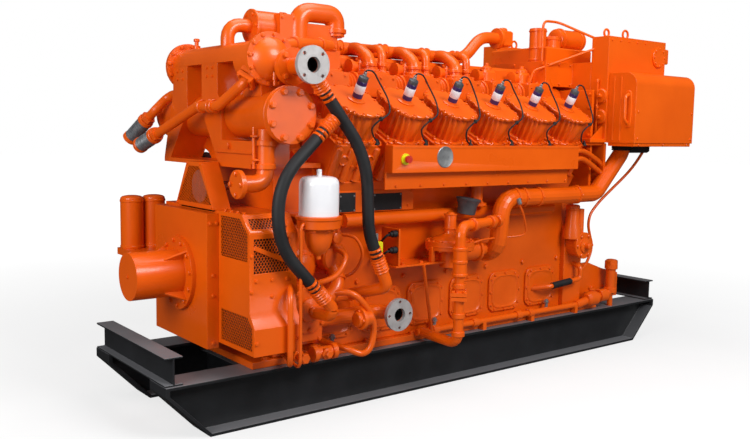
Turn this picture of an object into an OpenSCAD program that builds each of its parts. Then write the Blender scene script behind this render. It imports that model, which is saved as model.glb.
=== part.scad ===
// Stationary V-twelve gas engine with its coolant and gas fittings, on a beam skid.
// Lengths in millimetres, Z up. The crankshaft lies along X with the belt end at minus X.
// The service side, with the gas train and the coolant hoses, faces minus Y.

/* [Skid] */
// length over the top flanges of the two main beams
skid_length = 4110; // [3900:10:4400]
// width over the outer flange edges
skid_width = 976; // [900:2:1100]
// height of a main beam
beam_height = 300; // [250:5:360]
// flange width of a main beam
beam_flange = 200; // [160:5:240]
// flange thickness of a main beam
beam_flange_t = 18; // [10:1:28]
// web thickness of a main beam
beam_web_t = 14; // [8:1:24]
// how far the underside stops short of the top at each end
beam_end_run = 245; // [150:5:320]
// upright part of a beam end, above its slope
beam_end_lip = 50; // [30:1:80]
// height of the cross beams that lie on the main beams
cross_height = 150; // [120:1:180]
// flange width of the cross beams
cross_flange = 100; // [80:1:130]
// flange and web thickness of the cross beams and ties
cross_t = 10; // [6:1:16]
// how far a cross beam's end stands in from the main beam's edge
cross_setback = 12; // [5:1:30]
// height of the ties between the main beams
tie_height = 150; // [100:5:200]
// distance between neighbouring ties
tie_spacing = 1150; // [900:10:1300]

/* [Engine block] */
// crankshaft height above the skid's top
crank_above_skid = 490; // [460:5:540]
// lean of each cylinder bank from upright
bank_angle = 30; // [26:1:34]
// distance between neighbouring cylinders of a bank
cylinder_pitch = 355.6; // [340:0.2:375]
// place of the middle of the banks along the skid
bank_middle_x = -71; // [-100:1:-40]
// block beyond the end cylinders
block_margin = 190; // [180:5:220]
// half width of the crankcase
crankcase_half = 400; // [380:5:420]
// distance from the crankshaft to the top deck of a bank
deck_radius = 690; // [660:5:720]
// half width of a bank at its deck
deck_half = 175; // [165:1:185]
// thickness of the foot rail on the skid
foot_t = 40; // [25:1:60]
// how far the foot rail runs out past the block at the front
foot_front = 390; // [300:10:420]
// how far the foot rail runs out past the block at the rear
foot_rear = 390; // [300:10:420]
// half width of the foot rail
foot_half = 440; // [425:1:455]
// depth of the sump below the foot rail
sump_depth = 190; // [120:5:250]
// half width of the sump
sump_half = 265; // [240:5:275]
// width of a crankcase door
door_width = 300; // [270:5:320]
// height of a crankcase door
door_height = 270; // [220:5:300]
// thickness of a crankcase door
door_t = 16; // [8:1:24]
// corner radius of a crankcase door
door_corner = 60; // [30:2:90]
// height of the door centres above the foot rail
door_above_foot = 185; // [165:5:220]
// how far the door centres lie before their cylinders
door_shift = 36; // [20:1:38]

/* [Heads and covers] */
// length of a cylinder head along the bank
head_length = 305; // [280:1:325]
// width of a cylinder head across the bank
head_width = 330; // [310:2:350]
// height of a cylinder head
head_height = 235; // [210:5:260]
// corner radius of a cylinder head
head_corner = 40; // [20:2:60]
// length of a rocker cover along the bank
cover_length = 255; // [230:1:275]
// width of a rocker cover across the bank
cover_width = 320; // [300:2:330]
// corner radius of a rocker cover
cover_corner = 108; // [80:2:114]
// height of a rocker cover without its plates
cover_height = 162; // [140:2:190]
// thickness of a rocker cover's foot flange
cover_foot_t = 18; // [10:1:26]
// thickness of a rocker cover's top plate
cover_plate_t = 15; // [8:1:22]
// how far the plates stand out around a rocker cover
cover_rim = 12; // [8:1:18]
// radius of an ignition coil
coil_radius = 29; // [24:1:34]
// length of an ignition coil's body
coil_length = 100; // [85:1:120]
// radius of an ignition coil's foot
coil_foot_radius = 24; // [20:1:28]
// length of an ignition coil's foot
coil_foot = 22; // [14:1:30]
// length of an ignition coil's cap
coil_cap = 24; // [16:1:34]
// radius of an ignition coil's cap
coil_cap_radius = 25; // [20:1:28]
// diameter of an ignition lead
lead_diameter = 9; // [7:0.5:12]

/* [Manifolds in the V] */
// length of one manifold box
manifold_length = 246; // [220:2:270]
// width of one manifold box
manifold_width = 230; // [200:5:250]
// height of one manifold box
manifold_height = 135; // [110:5:160]
// gap from the middle plane to the manifold
manifold_gap = 95; // [80:1:120]
// top of the manifolds above the crankshaft
manifold_top = 1135; // [1110:5:1160]
// radius of the round joints between manifold boxes
joint_radius = 60; // [50:1:66]
// side of a port box between head and manifold
port_size = 130; // [110:2:150]
// radius of the water pipe on top
top_pipe_radius = 40; // [32:1:48]
// height of the saddles under the water pipe
saddle_height = 130; // [110:1:150]
// thickness of the saddles along the pipe
saddle_t = 60; // [40:2:80]

/* [Side rails] */
// length of the side rail boxes
rail_length = 1596; // [1560:2:1640]
// place of the rails' middle along the skid
rail_middle_x = -8; // [-20:1:10]
// distance from the middle plane to a rail's face
rail_face = 700; // [690:1:720]
// depth of a rail box
rail_depth = 70; // [50:1:74]
// height of a rail box
rail_height = 153; // [140:1:165]
// underside of a rail box above the crankshaft
rail_above_crank = 570; // [560:1:590]
// height of the lip below a rail box
lip_height = 95; // [80:1:110]
// how far the lip is set back from the rail's face
lip_setback = 48; // [40:1:60]
// thickness of the lip
lip_t = 12; // [8:1:20]
// thickness of the brackets that hold a rail
bracket_t = 40; // [25:1:60]
// radius of the water header below a rail
header_radius = 40; // [32:1:46]
// height of the water headers above the crankshaft
header_above_crank = 290; // [270:5:310]
// gap from the crankcase to a water header
header_gap = 15; // [10:1:20]
// radius of the stubs that carry a water header
header_stub_radius = 30; // [22:1:34]

/* [Stop button] */
// radius of the yellow ring
stop_ring_radius = 32; // [28:0.5:36]
// thickness of the yellow ring
stop_ring_t = 6; // [4:0.5:9]
// radius of the collar in the ring
stop_collar_radius = 21; // [18:0.5:24]
// length of the collar
stop_collar_length = 10; // [7:0.5:14]
// radius of the button's head
stop_head_radius = 21; // [18:0.5:25]
// thickness of the button's head
stop_head_t = 16; // [10:0.5:20]
// radius of the button's stem
stop_stem_radius = 11; // [8:0.5:13]
// length of the stem in the rail
stop_stem_seat = 30; // [20:1:45]
// how far the button can be pushed
stop_travel = 5; // [3:0.5:7]
// place of the button from the rail's front end
stop_from_end = 92; // [70:1:110]

/* [Gear case and guards] */
// depth of the gear case before the block
gear_depth = 250; // [230:5:280]
// half width of the gear case
gear_half = 420; // [400:5:440]
// top of the gear case above the crankshaft
gear_top = 595; // [570:5:620]
// depth of the belt guard before the gear case
guard_depth = 280; // [260:5:310]
// sheet thickness of the guards
guard_t = 6; // [4:0.5:10]
// underside of the belt guard below the crankshaft
guard_low = 340; // [310:5:360]
// top of the belt guard above the crankshaft
guard_high = 370; // [350:5:400]
// reach of the belt guard's lower box from the middle plane
guard_reach = 710; // [690:2:730]
// reach of the belt guard's top from the middle plane
guard_top_reach = 580; // [560:2:610]
// height of the belt guard's slanting upper side
guard_slant = 95; // [80:1:130]
// reach of the guard on the far side
guard_far_reach = 335; // [320:1:350]
// height of the lower box up to its shoulder
guard_box_height = 140; // [120:2:170]
// inward step of the shoulder
guard_step = 50; // [30:1:70]
// rise of the shoulder
guard_step_rise = 75; // [50:1:100]
// width of the bars between the guard's windows
guard_bar = 24; // [16:1:34]
// depth of the upper guard
upper_depth = 105; // [100:1:106]
// how far the upper guard stands before the belt guard
upper_ahead = 20; // [10:1:40]
// height of the upper guard
upper_height = 248; // [230:2:270]
// width of the upper guard at its foot
upper_foot = 458; // [440:2:480]
// width of the upper guard at its top
upper_top = 172; // [150:2:200]
// half width of the front plate box
plate_half = 330; // [310:2:334]
// depth of the front plate box
plate_depth = 70; // [50:1:90]
// radius of the shaft guard drum
drum_radius = 130; // [115:1:145]
// length of the shaft guard drum
drum_length = 300; // [270:2:304]
// radius of the drum's ring flange
drum_flange_radius = 205; // [190:1:225]
// thickness of the drum's ring flange
drum_flange_t = 25; // [15:1:35]
// thickness of the drum's four gussets
gusset_t = 12; // [8:1:18]
// length of the drum's gussets
gusset_length = 110; // [80:2:140]

/* [Belt drive] */
// radius of the crankshaft pulley
crank_pulley_radius = 200; // [180:2:220]
// radius of the upper pulley
upper_pulley_radius = 85; // [75:1:92]
// width of both pulleys
pulley_width = 60; // [44:1:70]
// radius of the crankshaft's nose
crank_shaft_radius = 40; // [32:1:48]
// radius of the upper pulley's shaft
upper_shaft_radius = 25; // [18:1:30]
// how deep the shafts sit in the gear case
shaft_seat = 40; // [25:1:60]
// place of the upper pulley from the middle plane
upper_pulley_y = 77; // [60:1:95]
// height of the upper pulley above the belt guard
upper_pulley_rise = 112; // [104:1:120]
// width of the belt
belt_width = 40; // [30:1:50]
// thickness of the belt
belt_t = 10; // [7:0.5:14]

/* [Coolant tank and coolers] */
// radius of the upper coolant tank
tank_radius = 105; // [95:1:115]
// half length of the upper coolant tank
tank_half = 500; // [480:5:520]
// height of the tank above the crankshaft
tank_above_crank = 1160; // [1150:1:1180]
// place of the tank before the block
tank_ahead = 330; // [320:1:340]
// radius of the tank's end flanges
tank_flange_radius = 140; // [130:1:150]
// thickness of the tank's end flanges
tank_flange_t = 25; // [15:1:35]
// drop of the tank's flat underside below its axis
tank_flat = 5; // [2:1:20]
// radius of the tank's domed end
dome_radius = 112; // [100:1:120]
// height of the tank's domed end
dome_height = 62; // [45:1:80]
// radius of the oil cooler shell
cooler_radius = 125; // [115:1:135]
// height of the oil cooler above the crankshaft
cooler_above_crank = 875; // [860:1:890]
// place of the oil cooler before the block
cooler_ahead = 292; // [270:1:310]
// reach of the oil cooler from the middle plane
cooler_reach = 670; // [650:2:690]
// radius of the oil cooler's end covers
cooler_cover_radius = 147; // [138:1:156]
// thickness of the oil cooler's end covers
cooler_cover_t = 40; // [28:1:55]
// depth of the cooler frame along X
frame_depth = 210; // [180:2:240]
// width of one column of the cooler frame at its top
column_width = 190; // [170:2:210]
// far edge of the far column from the middle plane
column_far = 432; // [420:1:445]
// distance between the two columns
column_spacing = 376; // [360:1:400]
// spread of the far column's foot past its top
foot_spread = 132; // [110:1:150]
// width of a column's foot
column_foot = 88; // [70:1:110]
// height above the shelf at which the columns start to narrow
column_waist = 280; // [250:5:300]
// height of the low beam beside the middle column
sill_height = 118; // [90:1:122]
// reach of that beam from the middle plane
sill_reach = 540; // [520:2:560]
// thickness of the shelf under the cooler frame
shelf_t = 25; // [15:1:35]
// radius of the outlet pipe
outlet_radius = 44; // [38:1:50]
// outlet axis behind the tank's axis
outlet_behind = 80; // [60:1:100]
// outlet axis below the tank's axis
outlet_drop = 37; // [25:1:50]
// room between the dome and the outlet's joint
nozzle_room = 13; // [8:1:25]
// length of the outlet pipe from that joint to its flange face
outlet_run = 200; // [160:2:240]
// outer radius of the pipe flanges
flange_radius = 95; // [90:0.5:105]
// thickness of the steel pipe flanges
flange_t = 24; // [18:0.5:30]
// depth of the open end of the outlet and inlet pipes, from the flange's face
pipe_mouth = 90; // [60:2:110]
// step from a flange's bore to the pipe's bore
pipe_step = 1; // [0.5:0.5:3]
// bore radius of the steel pipe flanges
flange_bore = 39; // [34:0.5:42]
// radius of the flanges' bolt circle
flange_bolt_circle = 76.2; // [74:0.1:80]
// radius of the flanges' bolt holes
flange_bolt_hole = 9.5; // [8:0.5:11]
// radius of the bypass pipes
bypass_radius = 28; // [22:1:34]
// radius of the ribbed connectors
connector_radius = 45; // [36:1:54]
// length of a ribbed connector
connector_run = 190; // [160:5:240]
// radius of the coolant hoses
hose_radius = 28; // [24:1:32]
// rounding of the hoses' bends
hose_bend = 230; // [180:5:260]
// hoses' distance outside the outlet's joint
hose_beside = 130; // [120:1:140]
// radius of the metal necks that the hoses end on
neck_radius = 34; // [31:1:38]
// radius of the breather cans
can_radius = 68; // [56:1:72]
// height of the breather cans
can_height = 300; // [260:5:330]
// cans' middle ahead of the belt guard's face
can_ahead = 113; // [90:1:130]

/* [Mixer on top] */
// radius of the mixer drum
mixer_radius = 90; // [80:1:100]
// length of the mixer drum
mixer_length = 225; // [200:5:250]
// height of the mixer drum above the crankshaft
mixer_above_crank = 1370; // [1360:1:1385]
// place of the mixer from the middle plane
mixer_y = 100; // [80:2:120]
// radius of the mixer's elbow pipe
mixer_pipe_radius = 42; // [36:1:50]
// radius of the arched pipe between the drum and the tank
arch_radius = 38; // [30:1:46]
// arched pipe's foot ahead of the tank's axis
arch_ahead = 25; // [10:1:40]
// length of the mixer's front box along X
mixer_box_length = 110; // [100:2:120]
// length of the mixer's rear box along X
mixer_rear_length = 245; // [230:2:255]
// width of the mixer's boxes
mixer_box_width = 250; // [230:2:270]

/* [Service side] */
// radius of the white filter can
filter_radius = 105; // [95:1:112]
// height of the white filter can
filter_height = 205; // [180:5:230]
// place of the filter from the middle plane
filter_reach = 700; // [680:2:720]
// radius of the filter's base
filter_base_radius = 115; // [108:1:122]
// height of the filter's base
filter_base_height = 70; // [50:1:90]
// filter's axis behind the gear case's front
filter_behind = 106; // [95:1:115]
// underside of the filter can above the crankshaft
filter_rise = 360; // [345:1:375]
// depth of the cup under the filter's base
filter_cup = 170; // [140:5:190]
// radius of the coolant pump
pump_radius = 120; // [105:1:130]
// depth of the coolant pump
pump_depth = 150; // [130:2:170]
// pump's axis ahead of the block's front
pump_ahead = 110; // [100:1:125]
// pump's axis below the crankshaft
pump_below = 170; // [160:1:180]
// inlet flange's axis behind the block's front
inlet_behind = 461; // [450:1:470]
// inlet flange's axis below the crankshaft
inlet_below = 253; // [245:1:260]
// inlet flange's face from the crankshaft's plane
inlet_face = 650; // [630:2:670]
// radius of the gas regulator's diaphragm case
regulator_radius = 150; // [130:1:155]
// thickness of the diaphragm case
regulator_depth = 50; // [40:1:60]
// regulator's axis behind the block's front
regulator_behind = 910; // [900:2:920]
// underside of the diaphragm case above the crankshaft
regulator_rise = 92; // [80:1:105]
// room between the diaphragm case and the crankcase's side
regulator_off = 22; // [10:1:30]
// radius of the gas pipe
gas_radius = 31; // [26:1:34]
// gas pipe's riser behind the block's front
gas_behind = 820; // [810:2:830]
// gas pipe's riser from the middle plane
gas_reach = 760; // [750:2:790]
// radius of the drain pipe
drain_radius = 20; // [15:1:24]
// drain pipe's axis above the skid
drain_rise = 56; // [45:1:70]
// radius of the air pipe
air_radius = 57; // [50:1:62]
// bend radius of the air pipe's middle line
air_bend = 110; // [95:1:125]
// air pipe's riser behind the block's front
air_behind = 1296; // [1280:2:1320]
// air pipe's level run above the crankshaft
air_rise = 388; // [375:1:400]
// air pipe's axis inside the air box's outer face
air_inset = 12; // [5:1:20]

/* [Rear end] */
// depth of the flywheel housing
housing_depth = 192; // [170:2:215]
// half width of the flywheel housing
housing_half = 436; // [420:1:440]
// top of the flywheel housing above the crankshaft
housing_top = 390; // [370:5:410]
// radius of the flywheel cover
flywheel_radius = 330; // [300:5:360]
// thickness of the flywheel cover
flywheel_t = 60; // [40:2:80]
// radius of the starter drive
starter_radius = 85; // [75:1:95]
// length of the starter drive
starter_length = 100; // [80:2:120]
// place of the air boxes behind the block
air_box_behind = 172; // [150:2:200]
// length of an air box
air_box_length = 675; // [640:5:710]
// depth of an air box
air_box_depth = 146; // [120:2:160]
// height of an air box
air_box_height = 715; // [690:5:740]
// underside of the air boxes above the crankshaft
air_box_above_crank = 770; // [755:5:785]
// reach of the air boxes from the middle plane
air_box_reach = 612; // [600:2:630]
// length of an intake hood
hood_length = 705; // [680:5:740]
// depth of an intake hood
hood_depth = 228; // [200:2:240]
// height of an intake hood
hood_height = 485; // [460:5:510]
// corner radius of an intake hood's top edge
hood_corner = 90; // [60:2:120]
// thickness of the shelf under the air boxes
stand_t = 25; // [15:1:35]
// length of the intake box between the air boxes and the manifolds
plenum_length = 290; // [260:5:340]
// half width of the intake box
plenum_half = 300; // [280:2:320]
// height of the intake box
plenum_height = 175; // [150:1:200]

/* [Fits] */
// gap between the belt's loop and the pulley grooves
belt_gap = 1; // [0.8:0.1:2]
// room in front of the pulleys inside the guard
pulley_room = 6; // [5:0.5:10]
// gap between curved faces that seat on each other
seat_gap = 0.3; // [0.1:0.05:0.6]
// gap around a turning or sliding shaft
running_gap = 0.08; // [0.02:0.01:0.1]
// gap under the cylinder heads
gasket_gap = 0.05; // [0.02:0.01:0.1]
// overshoot of a cut past the face that it opens
cut_over = 1; // [0.5:0.5:3]

/* [Hidden] */
$fn = 48;
tube_sides = 16;
bend_steps = 5;

orange = "#e2590f";
skid_black = "#1d1e20";
steel = "#8d9092";
rubber = "#1a1a1b";
white = "#e9e9e4";
coil_blue = "#2a2a5c";
signal_yellow = "#e8b70f";
signal_red = "#b5121b";

cylinders = 6;
crank_z = beam_height + crank_above_skid;
first_x = bank_middle_x - (cylinders - 1) / 2 * cylinder_pitch;
front_x = first_x - block_margin;
rear_x = bank_middle_x + (cylinders - 1) / 2 * cylinder_pitch + block_margin;
foot_top = beam_height + foot_t;
gear_x = front_x - gear_depth;
guard_x = gear_x - guard_depth;
plate_x = guard_x - plate_depth;
drum_x = plate_x - drum_length;
head_top = deck_radius + head_height;
cover_top = head_top + cover_foot_t + cover_height + cover_plate_t;
coil_top = cover_top + coil_foot + coil_length + coil_cap;
rail_z = crank_z + rail_above_crank;
rail_back = rail_face - rail_depth;
guard_z0 = crank_z - guard_low;
guard_z1 = crank_z + guard_high;
gear_z1 = crank_z + gear_top;
shelf_z1 = gear_z1 + shelf_t;
tank_x = front_x - tank_ahead;
tank_z = crank_z + tank_above_crank;
cooler_x = front_x - cooler_ahead;
cooler_z = crank_z + cooler_above_crank;
manifold_z1 = crank_z + manifold_top;
manifold_z0 = manifold_z1 - manifold_height;
manifold_y = manifold_gap + manifold_width / 2;
upper_pulley_z = guard_z1 + upper_pulley_rise;
pulley_x = guard_x + guard_t + pulley_room + pulley_width / 2;
water_pipe_z = manifold_z1 + saddle_height + top_pipe_radius;
air_box_x = rear_x + air_box_behind;
air_box_z = crank_z + air_box_above_crank;
tank_end = tank_half + tank_flange_t;
tank_far = column_far;
nozzle_reach = tank_end + dome_height + nozzle_room;
outlet_face = nozzle_reach + outlet_run;
outlet_x = tank_x + outlet_behind;
outlet_z = tank_z - outlet_drop;
hose_y = nozzle_reach + hose_beside;
// the upper hose leaves the outlet's branch, the lower one the oil cooler's neck, and both end at the pump
outlet_branch = [outlet_x + 110, -hose_y, outlet_z - 123];
branch_fall = [280, 0, -340];
upper_foot_at = [front_x + 163, -hose_y, crank_z + 250];
upper_end_at = [front_x + 224, -hose_y, crank_z + 113];
hose_upper_route = [outlet_branch, outlet_branch + branch_fall, upper_foot_at, upper_end_at];
cooler_branch = [cooler_x + 154, -hose_y, cooler_z - 78];
cooler_fall = [-270, 0, -257];
lower_drop = [0, 0, -320];
lower_tail = [230, 0, -244];
hose_lower_route = [cooler_branch, cooler_branch + cooler_fall, cooler_branch + cooler_fall + lower_drop,
    cooler_branch + cooler_fall + lower_drop + lower_tail];
// point on a hose's line, carried on past its end by run
function past_start(route, run) = route[0] - heading(route, 0) * run;
function past_end(route, run) = let (n = len(route) - 1) route[n] + heading(route, n - 1) * run;

// unit vector along v
function unit(v) = v / norm(v);
// angle between two unit vectors
function bend_angle(a, b) = acos(max(-1, min(1, a * b)));
// direction of the stretch after point i
function heading(p, i) = unit(p[i + 1] - p[i]);
// point i of a route, or the arc that rounds it off
function corner(p, i, bend) = (i == 0 || i == len(p) - 1) ? [p[i]]
    : let (a = heading(p, i - 1), b = heading(p, i), turn = bend_angle(a, b))
    turn < 1 ? [p[i]]
    : let (inward = unit(b - a * (a * b)), middle = p[i] - a * bend * tan(turn / 2) + inward * bend)
    [for (k = [0 : bend_steps]) let (at = turn * k / bend_steps)
        middle + bend * (sin(at) * a - cos(at) * inward)];
// a route with all its corners rounded
function rounded(p, bend) = [for (i = [0 : len(p) - 1]) each corner(p, i, bend)];
// directions at the points of a rounded route
function tangents(q) = [for (i = [0 : len(q) - 1]) unit(q[min(i + 1, len(q) - 1)] - q[max(i - 1, 0)])];
// a vector square to d
function square_to(d) = unit(abs(d[2]) < 0.9 ? cross(d, [0, 0, 1]) : cross(d, [1, 0, 0]));
// side vectors carried along a route without twist
function carried(t, i, last) = i == len(t) ? []
    : let (now = i == 0 ? square_to(t[0]) : unit(last - t[i] * (last * t[i])))
    concat([now], carried(t, i + 1, now));

// round tube along a route of points with rounded corners
module pipe_run(points, radius, bend, sides = tube_sides) {
    q = rounded(points, bend);
    t = tangents(q);
    s = carried(t, 0, [0, 0, 1]);
    rings = [for (i = [0 : len(q) - 1], k = [0 : sides - 1])
        q[i] + radius * (cos(360 * k / sides) * s[i] + sin(360 * k / sides) * cross(t[i], s[i]))];
    last = (len(q) - 1) * sides;
    walls = [for (i = [0 : len(q) - 2], k = [0 : sides - 1], half = [0, 1])
        let (a = i * sides + k, b = i * sides + (k + 1) % sides)
        half == 0 ? [a, a + sides, b] : [b, a + sides, b + sides]];
    ends = [[for (k = [0 : sides - 1]) k], [for (k = [0 : sides - 1]) last + sides - 1 - k]];
    polyhedron(rings, concat(walls, ends));
}

// straight round bar along X from start to stop
module bar_x(start, stop, y, z, radius)
    translate([start, y, z]) rotate([0, 90, 0]) cylinder(h = stop - start, r = radius);

// straight round bar along Y from start to stop
module bar_y(start, stop, x, z, radius)
    translate([x, stop, z]) rotate([90, 0, 0]) cylinder(h = stop - start, r = radius);

// block between two corners
module block(low, high) translate(low) cube(high - low);

// rectangle with round corners about the origin
module round_rect(length, width, radius) {
    square([length - 2 * radius, width], center = true);
    square([length, width - 2 * radius], center = true);
    for (i = [-1, 1], j = [-1, 1])
        translate([i * (length / 2 - radius), j * (width / 2 - radius)]) circle(r = radius);
}

// outline in the plane across the engine, drawn in Y and Z, made a solid from start to stop along X
module across(start, stop)
    translate([start, 0, 0]) rotate([90, 0, 90]) linear_extrude(height = stop - start) children();

// frame of the near bank with its cylinders along Z, outward toward minus Y
module near_bank() translate([0, 0, crank_z]) rotate([bank_angle, 0, 0]) children();

// the far side's copy of a near-side shape
module far_side() mirror([0, 1, 0]) children();

// a near-side shape and the far side's copy of it
module both_sides() {
    children();
    far_side() children();
}

// every cylinder's place along the bank
module each_cylinder() for (i = [0 : cylinders - 1])
    translate([first_x + i * cylinder_pitch, 0, 0]) children();

// steel pipe flange facing minus Y, its face at y and its holes turned from the upright
module pipe_flange(x, y, z, turn) {
    difference() {
        bar_y(y, y + flange_t, x, z, flange_radius);
        bar_y(y - flange_t, y + 2 * flange_t, x, z, flange_bore);
        for (a = [turn : 90 : turn + 270])
            bar_y(y - flange_t, y + 2 * flange_t, x + flange_bolt_circle * cos(a),
                z + flange_bolt_circle * sin(a), flange_bolt_hole);
    }
}

// end slope of a main beam, measured along the beam for one flange thickness
end_wall = beam_flange_t * norm([beam_end_run, beam_height - beam_end_lip]) / (beam_height - beam_end_lip);
half_skid = skid_length / 2;
pocket_low = half_skid - end_wall
    - beam_end_run * (beam_height - beam_end_lip - beam_flange_t) / (beam_height - beam_end_lip);
beam_y = skid_width / 2 - beam_flange / 2;
beam_outline = [[-half_skid, beam_height], [-half_skid, beam_height - beam_end_lip],
    [beam_end_run - half_skid, 0],
    [half_skid - beam_end_run, 0], [half_skid, beam_height - beam_end_lip], [half_skid, beam_height]];
pocket_outline = [[-half_skid + end_wall, beam_height - beam_flange_t],
    [-half_skid + end_wall, beam_height - beam_end_lip], [-pocket_low, beam_flange_t],
    [pocket_low, beam_flange_t],
    [half_skid - end_wall, beam_height - beam_end_lip], [half_skid - end_wall, beam_height - beam_flange_t]];
pocket_depth = (beam_flange - beam_web_t) / 2;

// one main beam, its web on the plane at y
module main_beam(y)
    translate([0, y, 0]) rotate([90, 0, 0]) difference() {
        linear_extrude(height = beam_flange, center = true) polygon(beam_outline);
        for (side = [-1, 1])
            translate([0, 0, side * (beam_web_t + pocket_depth + cut_over) / 2])
                linear_extrude(height = pocket_depth + cut_over, center = true) polygon(pocket_outline);
    }

// I section of a cross member along Y, centred on x, its underside at z
module cross_member(x, z, half_length, height, flange) {
    block([x - flange / 2, -half_length, z], [x + flange / 2, half_length, z + cross_t]);
    block([x - flange / 2, -half_length, z + height - cross_t], [x + flange / 2, half_length, z + height]);
    block([x - cross_t / 2, -half_length, z], [x + cross_t / 2, half_length, z + height]);
}

module skid_beam_near() color(skid_black) main_beam(-beam_y);

module skid_beam_far() color(skid_black) main_beam(beam_y);

module skid_crossbeams() color(skid_black)
    for (side = [-1, 1])
        cross_member(side * (half_skid - cross_flange / 2), beam_height, skid_width / 2 - cross_setback,
            cross_height, cross_flange);

// the ties stand clear of the sump's ends and meet the webs of both beams
tie_low = (beam_height - tie_height) / 2;
module skid_ties() color(skid_black)
    for (side = [-1, 1])
        cross_member(side * (tie_spacing + beam_end_run), tie_low, beam_y - beam_web_t / 2, tie_height,
            cross_flange);

module engine_base() color(orange) {
    block([front_x - foot_front, -foot_half, beam_height], [rear_x + foot_rear, foot_half, foot_top]);
    block([front_x, -sump_half, beam_height - sump_depth], [rear_x, sump_half, beam_height]);
}

// corner of a bank's deck, outer or inner, as a point in Y and Z on the far side
function deck_corner(side) = [deck_radius * sin(bank_angle) + side * deck_half * cos(bank_angle),
    crank_z + deck_radius * cos(bank_angle) - side * deck_half * sin(bank_angle)];
outer_corner = deck_corner(1);
inner_corner = deck_corner(-1);
valley_z = inner_corner[1] - inner_corner[0] / tan(bank_angle);
shoulder_z = outer_corner[1] - (outer_corner[0] - crankcase_half) / tan(bank_angle);
module crankcase() color(orange) across(front_x, rear_x)
    polygon([[-crankcase_half, foot_top], [crankcase_half, foot_top], [crankcase_half, shoulder_z],
        outer_corner, inner_corner, [0, valley_z], [-inner_corner[0], inner_corner[1]],
        [-outer_corner[0], outer_corner[1]],
        [-crankcase_half, shoulder_z]]);

module crankcase_doors() color(orange) both_sides() each_cylinder()
    translate([-door_shift, -crankcase_half, foot_top + door_above_foot]) rotate([90, 0, 0])
        linear_extrude(height = door_t) round_rect(door_width, door_height, door_corner);

module cylinder_heads_near() color(orange) near_bank() each_cylinder()
    translate([0, 0, deck_radius + gasket_gap]) linear_extrude(height = head_height - gasket_gap)
        round_rect(head_length, head_width, head_corner);

module cylinder_heads_far() color(orange) far_side() cylinder_heads_near();

module rocker_covers_near() color(orange) near_bank() each_cylinder() translate([0, 0, head_top]) {
    linear_extrude(height = cover_foot_t)
        round_rect(cover_length + 2 * cover_rim, cover_width + 2 * cover_rim, cover_corner);
    translate([0, 0, cover_foot_t]) linear_extrude(height = cover_height)
        round_rect(cover_length, cover_width, cover_corner);
    translate([0, 0, cover_foot_t + cover_height]) linear_extrude(height = cover_plate_t)
        round_rect(cover_length + 2 * cover_rim, cover_width + 2 * cover_rim, cover_corner);
}

module rocker_covers_far() color(orange) far_side() rocker_covers_near();

module ignition_coils() color(coil_blue) both_sides() near_bank() each_cylinder()
    translate([0, 0, cover_top]) {
    cylinder(h = coil_foot, r = coil_foot_radius);
    translate([0, 0, coil_foot]) cylinder(h = coil_length, r = coil_radius);
    translate([0, 0, coil_foot + coil_length]) cylinder(h = coil_cap, r = coil_cap_radius);
}

// a lead from the side of a coil's cap, over the cover's edge and down to the rail, in the near bank's frame
lead_start = [coil_cap_radius, 0, cover_top + coil_foot + coil_length + coil_cap / 2];
cover_edge = -cover_width / 2 - cover_rim;
lead_out = 45;
lead_side = 90;
lead_high = 60;
lead_past = 40;
lead_low = 10;
lead_route = [lead_start, lead_start + [lead_out, 0, 0], [lead_side, cover_edge / 2, cover_top + lead_high],
    [lead_side, cover_edge - lead_past, cover_top + lead_low]];
// a point of the near bank's frame in the engine's frame
function from_bank(p) = [p[0], p[1] * cos(bank_angle) - p[2] * sin(bank_angle),
    crank_z + p[1] * sin(bank_angle) + p[2] * cos(bank_angle)];
lead_foot_x = 60;
lead_end = [lead_foot_x, -rail_face + rail_depth / 3, rail_z + rail_height];
lead_points = concat([for (p = lead_route) from_bank(p)], [lead_end + [0, 0, lead_high], lead_end]);
lead_bend = 20;
lead_sides = 8;
module ignition_leads() color(rubber) both_sides() each_cylinder()
    pipe_run(lead_points, lead_diameter / 2, lead_bend, lead_sides);

// port box of one cylinder, from the inner side of its head into the riser
riser_half = port_size / 2;
port_rise = 90;
port_low = deck_radius + port_rise;
module exhaust_manifold_near() color(orange) {
    each_cylinder() {
        block([-manifold_length / 2, -manifold_gap - manifold_width, manifold_z0],
            [manifold_length / 2, -manifold_gap, manifold_z1]);
        difference() {
            union() {
                near_bank() block([-riser_half, head_width / 2, port_low],
                    [riser_half, head_width / 2 + port_size, port_low + port_size]);
                block([-riser_half, -manifold_y - riser_half, manifold_z0 - port_size],
                    [riser_half, -manifold_y + riser_half, manifold_z0 + cut_over]);
            }
            near_bank() block([-head_length, -head_width, 0], [head_length, head_width / 2, coil_top]);
        }
    }
    bar_x(first_x, first_x + (cylinders - 1) * cylinder_pitch, -manifold_y, manifold_z1 - manifold_height / 2,
        joint_radius);
}

module exhaust_manifold_far() color(orange) far_side() exhaust_manifold_near();

// the water pipe runs back from the mixer, rises over the fifth cylinder and ends in a capped box
mixer_setback = 67;
mixer_depth = 260;
mixer_base_x = front_x + mixer_setback;
mixer_back_x = mixer_base_x + mixer_depth;
pipe_rise_at = 3.75;
pipe_rise_x = first_x + pipe_rise_at * cylinder_pitch;
pipe_rise = 165;
water_route = [[mixer_back_x, 0, water_pipe_z], [pipe_rise_x, 0, water_pipe_z],
    [pipe_rise_x + pipe_rise, 0, water_pipe_z + pipe_rise],
    [pipe_rise_x + 2 * pipe_rise, 0, water_pipe_z + pipe_rise]];
water_bend = 90;
module water_pipe() color(orange) {
    pipe_run(water_route, top_pipe_radius, water_bend);
    for (i = [1, 2, 3])
        translate([first_x + i * cylinder_pitch, 0, 0])
            block([-saddle_t / 2, -manifold_y, manifold_z1], [saddle_t / 2, manifold_y, water_pipe_z]);
}

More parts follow.
